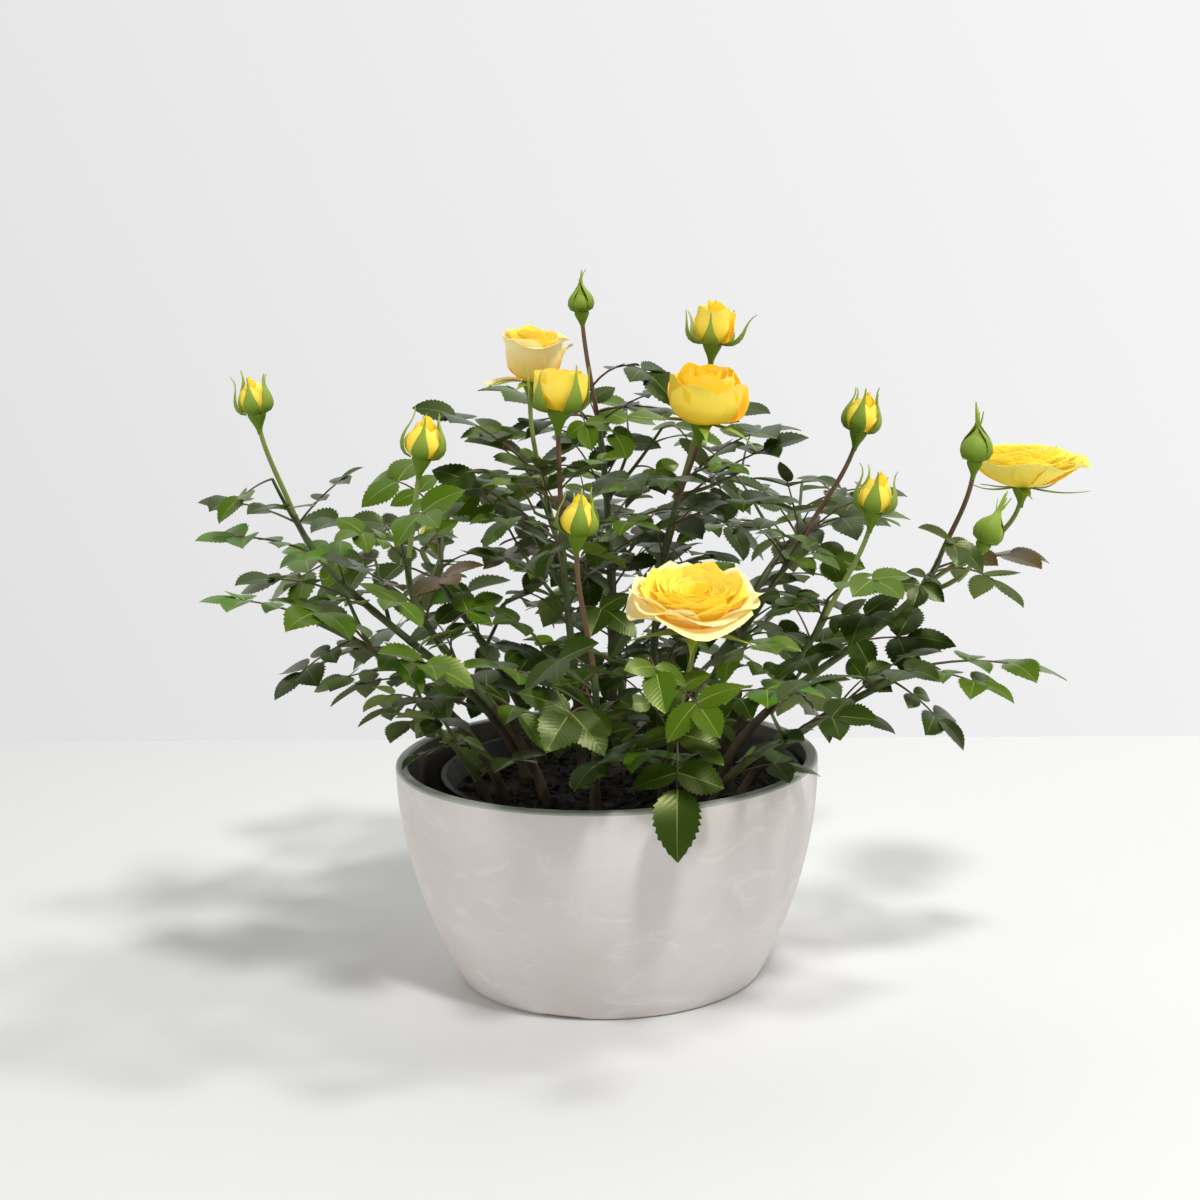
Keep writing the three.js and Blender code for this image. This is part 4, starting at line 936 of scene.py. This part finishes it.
def leaf_skin(name, colour, roughness, veins):
    """Waxy leaf skin of one plain colour, quilted between side veins about 2.5 mm apart."""
    material, tree, shader = new_material(name, Base_Color=linear(colour), Roughness=roughness)
    shader.inputs["Specular IOR Level"].default_value = 0.52
    shader.inputs["Specular Tint"].default_value = linear("#eef4a4")
    own = add_node(tree, "ShaderNodeUVMap", uv_map="UVMap")
    parts_of = add_node(tree, "ShaderNodeSeparateXYZ", {0: own})
    aside = add_node(tree, "ShaderNodeMath", {0: parts_of.outputs["Y"], 1: 0.5}, operation="SUBTRACT")
    from_rib = add_node(tree, "ShaderNodeMath", {0: aside}, operation="ABSOLUTE")
    slanted = add_node(
        tree, "ShaderNodeMath", {0: from_rib, 1: -VEIN_SLANT, 2: parts_of.outputs["X"]}, operation="MULTIPLY_ADD"
    )
    phase = add_node(tree, "ShaderNodeMath", {0: slanted, 1: VEIN_TURNS}, operation="MULTIPLY")
    quilt = add_node(tree, "ShaderNodeMath", {0: phase}, operation="SINE")
    bump = add_node(tree, "ShaderNodeBump", {"Height": quilt, "Strength": veins, "Distance": 0.0003})
    tree.links.new(bump.outputs[0], shader.inputs["Normal"])
    return material


spread, given = new_tree(
    "spread", ("Forms", "Collection", None), ("Upper", "Material", None), ("Rib", "Material", None),
    ("Under", "Material", None),
)
forms = add_node(spread, "GeometryNodeCollectionInfo", {"Collection": given["Forms"], 1: True, 2: True})
own = {
    name: add_node(spread, "GeometryNodeInputNamedAttribute", {"Name": name}, data_type=kind)
    for name, kind in (("form", "INT"), ("turn", "FLOAT_VECTOR"), ("size", "FLOAT_VECTOR"), ("part", "INT"))
}
placed = add_node(
    spread, "GeometryNodeInstanceOnPoints",
    {"Points": given["Geometry"], "Instance": forms, "Pick Instance": True, "Instance Index": own["form"],
     "Rotation": own["turn"], "Scale": own["size"]},
)
dressed = made_real(spread, placed, given["Upper"])
for number, socket in ((1, "Rib"), (2, "Under")):
    chosen = add_node(
        spread, "FunctionNodeCompare", {2: own["part"], 3: number}, data_type="INT", operation="EQUAL"
    )
    dressed = add_node(
        spread, "GeometryNodeSetMaterial", {"Geometry": dressed, "Selection": chosen, "Material": given[socket]}
    )
add_node(spread, "NodeGroupOutput", {0: dressed})

TINTS = {  # upper side, midrib, underside, share of the leaves
    "dark": ("#2a400a", "#73823f", "#5e6c38", 0.52),
    "mid": ("#4d6a14", "#8a9a50", "#728240", 0.36),
    "fresh": ("#507a18", "#94ac48", "#87983c", 0.08),
    "bronze": ("#4f3a14", "#7d6640", "#6f5634", 0.04),
}
# Low in the crown, where shade falls, nearly every leaf is dealt the dark colour as painted shade. Higher up, more
# are dealt lighter colours as painted light. At these heights, a leaf's lot is raised to these powers. Fresh and
# bronze leaves aren't dealt above the last height.
PAINTED_SHADE_BY_HEIGHT, NONE_ABOVE = ((125, 160, 235), (4, 1.7, 0.5)), 215
dealt = {tint: [] for tint in TINTS}
draw = seeded(12)
for cane in CANES:
    for leaf in cane["leaves"]:
        lot, total = draw() ** np.interp(leaf.root[2], *PAINTED_SHADE_BY_HEIGHT), 0
        for tint, row in TINTS.items():
            total += row[3]
            if lot < total or tint == "bronze":
                high = tint in ("fresh", "bronze") and leaf.root[2] > NONE_ABOVE
                dealt[leaf.tint or ("mid" if high else tint)] += leaf.leaflets
                break

FORMS = [  # fold, droop, cup, twist
    (0.26, 0.1, 0.05, 0.1), (0.18, 0.16, 0.12, -0.15), (0.34, 0.07, 0.0, 0.2), (0.12, 0.2, 0.18, -0.05),
    (0.24, 0.26, 0.1, 0.12),
]
blank = bpy.data.materials.new("blank")
forms = bpy.data.collections.new("leaflet_forms")
for i, shape in enumerate(FORMS):
    forms.objects.link(leaflet_form(f"leaflet_{i}", *shape, i, [blank]))

TO_LIGHT = np.array([0.05, -0.5, 0.86])  # leaves turn their upper sides this way
TURNED = ((140, 235), (0.3, 0.85))  # how strongly, at these heights
foliage_nodes = [f"foliage_{cane['name']}" for cane in CANES]
chance = np.random.RandomState(11)
for tint, (upper, rib, under, _) in TINTS.items():
    bases, turns, sizes, shapes = [], [], [], []
    for base, way, normal, size in dealt[tint]:
        level = 0.7 * normal + TO_LIGHT * np.interp(base[2], *TURNED)
        flat = unit(level - way * (level @ way))
        tilt = chance.normal(0, 0.16)
        across = np.cross(flat, way)
        side = across * math.cos(tilt) - flat * math.sin(tilt)
        top = flat * math.cos(tilt) + across * math.sin(tilt)
        bases.append(base * MM)
        turns.append(Matrix(np.array([way, side, top]).T.tolist()).to_euler("XYZ"))
        sizes.append((size * MM, size * MM * chance.uniform(0.85, 1.12), size * MM))
        shapes.append(chance.randint(len(FORMS)))
    carrier = bpy.data.meshes.new(tint)
    carrier.from_pydata([tuple(base) for base in bases], [], [])
    for name, rows in (("turn", turns), ("size", sizes)):
        carrier.attributes.new(name, "FLOAT_VECTOR", "POINT").data.foreach_set("vector", np.array(rows).ravel())
    carrier.attributes.new("form", "INT", "POINT").data.foreach_set("value", shapes)
    piece = grow_from(
        carrier, f"leaflets_{tint}", spread, Forms=forms,
        Upper=leaf_skin(f"{tint}_leaf_upper_side", upper, 0.33, 0.05),
        Rib=leaf_skin(f"{tint}_leaf_midrib", rib, 0.5, 0.0),
        Under=leaf_skin(f"{tint}_leaf_underside", under, 0.7, 0.2),
    )
    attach(piece, "root")
    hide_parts(*foliage_nodes)

# ---------- roses and buds ----------
# Many-petalled yellow roses at every stage. The petals are thin and soft, each cupped across and turned back
# at its margin. They follow each other by the golden angle, the innermost upright and the outermost spread.
PETAL_ROWS, PETAL_COLUMNS = 10, 9


def grid_shell(middle, thickness):
    """A closed thin shell round a grid of points, thinner at its margin."""
    along = np.gradient(middle, axis=0)
    aside = np.gradient(middle, axis=1)
    normal = np.cross(along, aside)
    normal /= np.maximum(np.linalg.norm(normal, axis=2, keepdims=True), 1e-9)
    rows, columns = middle.shape[:2]
    index = np.arange(rows * columns).reshape(rows, columns)
    half = np.full((rows, columns, 1), thickness / 2)
    half[-1] = half[:, 0] = half[:, -1] = thickness / 5
    points = np.vstack([(middle + normal * half).reshape(-1, 3), (middle - normal * half).reshape(-1, 3)])
    a, b, c, d = (index[:-1, :-1], index[1:, :-1], index[1:, 1:], index[:-1, 1:])
    upper = np.stack([a, b, c, d], -1).reshape(-1, 4)
    loop = [*index[:-1, 0], *index[-1, :-1], *index[:0:-1, -1], *index[0, :0:-1]]
    low = rows * columns
    rim = [(j, i, i + low, j + low) for i, j in zip(loop, loop[1:] + loop[:1])]
    return points, np.vstack([upper, upper[:, ::-1] + low, rim])


def petal_line(length, rises, foot):
    """The middle line's distance from the axis, height and rise at 60 steps along it."""
    steps = np.linspace(0, 1, 60)
    rise = np.radians(np.interp(steps, np.linspace(0, 1, len(rises)), rises))
    ahead = np.cumsum(np.cos(rise)) * length / 60
    up = np.cumsum(np.sin(rise)) * length / 60
    return steps, foot[0] + ahead, foot[1] + up, rise


def petal_shell(length, width, rises, wrap, foot, outline, thickness, corner=0.2, roll=0, ruffle=0, point=0, phase=0):
    """One petal or sepal: it leaves its foot along X and is bent across to the wrap radius."""
    share = np.linspace(0, 1, PETAL_ROWS)[:, None]
    aside = np.linspace(-1, 1, PETAL_COLUMNS)[None, :]
    along = share * (1 - corner * aside**2) + point * share**6 * np.exp(-((aside / 0.3) ** 2))
    steps, line_out, line_up, line_rise = petal_line(length, rises, foot)
    out = np.interp(along, steps, line_out) + np.maximum(along - 1, 0) * length * np.cos(line_rise[-1])
    up = np.interp(along, steps, line_up) + np.maximum(along - 1, 0) * length * np.sin(line_rise[-1])
    rise = np.interp(along, steps, line_rise)
    half = width / 2 * np.interp(np.minimum(along, 1), np.linspace(0, 1, len(outline)), outline)
    bend = np.clip(aside * half / wrap, -2.7, 2.7)
    lift = wrap * (1 - np.cos(bend)) - roll * np.abs(aside) ** 4 * share**2
    lift = lift + ruffle * np.sin(aside * 5 + phase) * share**3
    middle = np.stack([out - np.sin(rise) * lift, wrap * np.sin(bend), up + np.cos(rise) * lift], -1)
    points, faces = grid_shell(middle, thickness)
    uv = np.stack([np.broadcast_to(aside / 2 + 0.5, middle.shape[:2]), np.broadcast_to(share, middle.shape[:2])], -1)
    return points, faces, np.tile(uv.reshape(-1, 2), (2, 1))


PETAL = (0.34, 0.6, 0.82, 0.95, 1.0, 0.97, 0.9)
SEPAL = (0.6, 0.92, 1.0, 0.86, 0.6, 0.34, 0.17, 0.1, 0.06)
GOLDEN = math.radians(137.5)
# Each stage of the flower, keyed evenly from its innermost petal to its outermost. Lengths, widths and wraps
# are shares of the bloom's radius. Rises are in degrees, from a petal's base to its tip. A foot is its
# distance out, as a share, and its height in millimetres. Sepals have one length, a width in millimetres,
# rises, and a distance out in millimetres; first is the turn of the first one, as a share of their spacing.
# The hip is its radius in millimetres. A dropping petal has its own bearing and rises.
ROSES = {
    "open": {"petals": 52, "length": (0.36, 0.5, 0.7, 0.9), "width": (0.42, 0.9, 1.5, 1.5),
             "wrap": (0.13, 0.34, 0.62, 1.0),
             "rise": ((88, 88, 86, 70), (70, 78, 76, 50), (46, 54, 56, 24), (28, 32, 18, -22)),
             "foot": ((0.02, 9), (0.05, 8), (0.09, 6), (0.12, 4.5)), "roll": 0.05, "ruffle": 0.02, "point": 0.05,
             "tints": ("gold", "gold", "yellow", "yellow", "yellow", "cream"),
             "sepal": (0.75, 5.5, (0, 0, -10, -20), 4), "hip": 5},
    "flat": {"petals": 64, "length": (0.5, 0.62, 0.8, 1.0), "width": (0.3, 0.55, 1.0, 1.4),
             "wrap": (0.14, 0.4, 0.8, 1.2),
             "rise": ((86, 84, 74), (62, 66, 56), (38, 48, 30), (4, 34, 32, 0)),
             "foot": ((0.02, 7), (0.08, 6), (0.12, 4.6), (0.14, 3.6)), "roll": 0.04, "ruffle": 0.04, "point": 0.03,
             "tints": ("lemon",) * 6,
             "sepal": (0.85, 5, (-10, -5, 5, 12), 4), "hip": 4.6},
    "cup": {"petals": 22, "length": (1.04, 1.18, 1.32, 1.26), "width": (0.6, 1.2, 1.5, 1.3),
            "wrap": (0.14, 0.4, 0.72, 1.05),
            "rise": ((80, 90, 98, 100), (44, 74, 90, 94), (8, 50, 84, 98, 92), (-8, 24, 72, 92, 60)),
            "foot": ((0.04, 5), (0.16, 4.6), (0.28, 4.2), (0.34, 3.6)), "roll": 0.05, "ruffle": 0.03, "point": 0.03,
            "tints": ("gold", "gold", "yellow", "gold", "gold", "yellow"),
            "sepal": (1.15, 6, (0, -4, -12, -20), 6), "hip": 6},
    "half": {"petals": 11, "length": (1.15, 1.3, 1.45, 1.46), "width": (0.6, 1.2, 2.0, 2.1),
             "wrap": (0.16, 0.44, 0.7, 0.94),
             "rise": ((80, 90, 96, 96), (40, 74, 92, 90), (4, 60, 88, 100, 96), (0, 52, 82, 98, 80)),
             "foot": ((0.04, 4.6), (0.18, 4.2), (0.26, 3.8), (0.32, 3.6)), "roll": 0.0, "ruffle": 0.01, "point": 0.0,
             "tints": ("gold", "yellow", "yellow", "yellow", "yellow", "yellow"),
             "sepal": (1.55, 10, (-4, 58, 86, 88, 86, 80), 8.6), "first": 0.1, "hip": 5.8},
    "fading": {"petals": 18, "length": (1.2, 1.4, 1.5, 1.45), "width": (0.6, 1.2, 1.9, 2.0),
               "wrap": (0.16, 0.42, 0.72, 0.95),
               "rise": ((84, 90, 92, 90), (50, 80, 90, 60), (20, 72, 86, 30), (0, 66, 84, -30)),
               "foot": ((0.04, 5), (0.14, 4.6), (0.22, 4.2), (0.28, 3.6)), "roll": 0.06, "ruffle": 0.02,
               "point": 0.08, "tints": ("yellow", "yellow", "yellow", "yellow", "cream", "cream"),
               "sepal": (1.2, 5.5, (0, 0, -15, -30), 4.6), "hip": 4.6, "dropping": (math.pi, (-10, -20, 10))},
    "opening": {"petals": 9, "length": (2.1, 2.1, 2.0, 1.9), "width": (0.8, 1.4, 2.2, 2.3),
                "wrap": (0.18, 0.5, 0.92, 1.08),
                "rise": ((86, 90, 94, 80), (40, 80, 94, 84), (4, 66, 88, 96, 70), (0, 60, 86, 96, 62)),
                "foot": ((0.04, 4.4), (0.2, 4), (0.38, 3.6), (0.44, 3.2)), "roll": 0.05, "ruffle": 0.03,
                "point": 0.04, "tints": ("gold", "gold", "yellow", "yellow", "yellow", "yellow"),
                "sepal": (2.7, 10, (-14, 10, 56, 80, 70, 50), 4.6), "hip": 5},
    "bud": {"petals": 8, "length": (1.95, 1.9, 1.85, 1.85), "width": (0.8, 1.4, 2.1, 2.2),
            "wrap": (0.18, 0.42, 0.82, 0.98),
            "rise": ((88, 90, 94, 90), (50, 84, 98, 108), (8, 58, 92, 116, 124), (0, 52, 90, 118, 132)),
            "foot": ((0.03, 4.4), (0.16, 4), (0.3, 3.6), (0.36, 3.4)), "roll": 0.0, "ruffle": 0.0, "point": 0.1,
            "tints": ("gold", "gold", "yellow", "yellow", "yellow", "yellow"),
            "sepal": (2.6, 9, (0, 48, 86, 108, 112, 90, 54), 4.9), "hip": 4.6},
    "green": {"petals": 5, "length": (1.3, 1.3, 1.35, 1.35), "width": (0.8, 1.2, 1.5, 1.6),
              "wrap": (0.22, 0.5, 0.7, 0.8),
              "rise": ((90, 92, 96, 90), (50, 84, 100, 120), (8, 66, 94, 118, 136), (0, 62, 92, 118, 140)),
              "foot": ((0.03, 4), (0.16, 3.8), (0.28, 3.6), (0.32, 3.4)), "roll": 0.0, "ruffle": 0.0, "point": 0.0,
              "tints": ("yellow",) * 6,
              "sepal": (4.2, 12, (0, 66, 112, 140, 122, 90, 76), 2.8), "hip": 3.8},
}
# The hip under the petals: a funnel that runs on from the stalk, in shares of its radius.
HIP = [(0, -1.5), (0.26, -1.5), (0.32, -1.0), (0.52, -0.5), (0.78, 0), (0.95, 0.38), (1, 0.62), (0.9, 0.86),
       (0, 0.96)]
UPRIGHT = Vector((0, 0, 1))
parts = {"cream": [], "lemon": [], "yellow": [], "gold": [], "green": []}


def keyed(rows, share):
    """A number, or a row of numbers, between evenly spaced keys. Short rows are filled up evenly first."""
    rows = [np.atleast_1d(np.array(row, float)) for row in rows]
    most = max(map(len, rows))
    rows = [np.interp(np.linspace(0, 1, most), np.linspace(0, 1, len(row)), row) for row in rows]
    at = share * (len(rows) - 1)
    first = min(int(at), len(rows) - 2)
    return between((rows[first], rows[first + 1]), at - first)


def on_stalk(bloom, points, bearing):
    """Turns points about the upright axis, then sets them on the end of the bloom's stalk."""
    turn = UPRIGHT.rotation_difference(Vector(bloom["axis"])).to_matrix() @ Matrix.Rotation(bearing, 3, "Z")
    return points @ np.array(turn).T + bloom["base"]


for number, bloom in enumerate(blooms):
    rose, r = ROSES[bloom["kind"]], bloom["size"] / 2
    draw = seeded(400 + number)
    for j in range(rose["petals"]):
        u = j / (rose["petals"] - 1)
        length, width, wrap = (keyed(rose[key], u)[0] * r for key in ("length", "width", "wrap"))
        rises = keyed(rose["rise"], u) + 10 * (draw() - 0.5)
        bearing = j * GOLDEN + 0.4 * draw()
        out, high = keyed(rose["foot"], u)
        if j == rose["petals"] - 1 and "dropping" in rose:
            (bearing, rises), length, width = rose["dropping"], length * 0.75, width * 0.5
        points, faces, uv = petal_shell(
            length * between((0.95, 1.05), draw()), width, rises, wrap, (out * r, high), PETAL, 0.35,
            corner=0.22, roll=rose["roll"] * r * u, ruffle=rose["ruffle"] * r,
            point=rose["point"] * between((0.4, 1), draw()), phase=6.3 * draw(),
        )
        tint = rose["tints"][min(5, int(u * 6))]
        parts[tint].append((on_stalk(bloom, points, bearing), faces, uv))
    reach, width, rises, out = rose["sepal"]
    for j in range(5):
        curl = 70 * (draw() - 0.5)
        curled = [rise + curl * (i / (len(rises) - 1)) ** 3 for i, rise in enumerate(rises)]
        points, faces, uv = petal_shell(
            reach * r * between((0.85, 1.15), draw()), min(width, 1.5 * r), curled, max(4.0, 0.95 * r),
            (out, 3.2), SEPAL, 0.5, corner=0.0,
        )
        bearing = (j + rose.get("first", 0.5)) * 2 * math.pi / 5 + 0.4 * draw()
        parts["green"].append((on_stalk(bloom, points, bearing), faces, uv))
    points, faces = turned([(out * rose["hip"], up * rose["hip"]) for out, up in HIP], 16)
    parts["green"].append((on_stalk(bloom, points, 0), faces, np.zeros((len(points), 2))))


def petal_skin(name, base, edge, glow=0.1):
    """Soft matt petal, deeper at its foot and paler at its margin. This is partly its own colour, partly painted
    shade in the creases and painted light on the rims. A faint glow, which is painted light, stands for the light
    that comes through it.
    """
    material, tree, shader = new_material(name, Roughness=0.55, Emission_Strength=glow)
    shader.inputs["Specular IOR Level"].default_value = 0.2
    own = add_node(tree, "ShaderNodeUVMap", uv_map="UVMap")
    parts_of = add_node(tree, "ShaderNodeSeparateXYZ", {0: own})
    colour_and_painted_shade = add_node(tree, "ShaderNodeValToRGB", {"Fac": parts_of.outputs["Y"]})
    for stop, at, colour in zip(colour_and_painted_shade.color_ramp.elements, (0.1, 0.9), (base, edge)):
        stop.position, stop.color = at, linear(colour)
    for socket in ("Base Color", "Emission Color"):
        tree.links.new(colour_and_painted_shade.outputs[0], shader.inputs[socket])
    return material


SKINS = {
    "cream": petal_skin("cream_petal", "#ffce40", "#fff0b4"),
    "lemon": petal_skin("lemon_petal", "#ffdc34", "#ffee70"),
    "yellow": petal_skin("yellow_petal", "#ffd028", "#ffe458"),
    "gold": petal_skin("golden_petal", "#ffc210", "#ffda34"),
    # The sepals' paler tips are partly their own colour and partly painted highlight.
    "green": petal_skin("green_sepal", "#6a8820", "#a6ba50", 0.0),
}
for tint, shells in parts.items():
    points = np.vstack([shell[0] for shell in shells])
    starts = np.cumsum([0] + [len(shell[0]) for shell in shells[:-1]])
    faces = [[i + start for i in face] for shell, start in zip(shells, starts) for face in shell[1]]
    name = "sepals_and_hips" if tint == "green" else f"{tint}_petals"
    piece = make_piece(name, points, faces, [SKINS[tint]], uvs=np.vstack([shell[2] for shell in shells]), sharp=70)
    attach(piece, "root")
    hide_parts(*foliage_nodes)
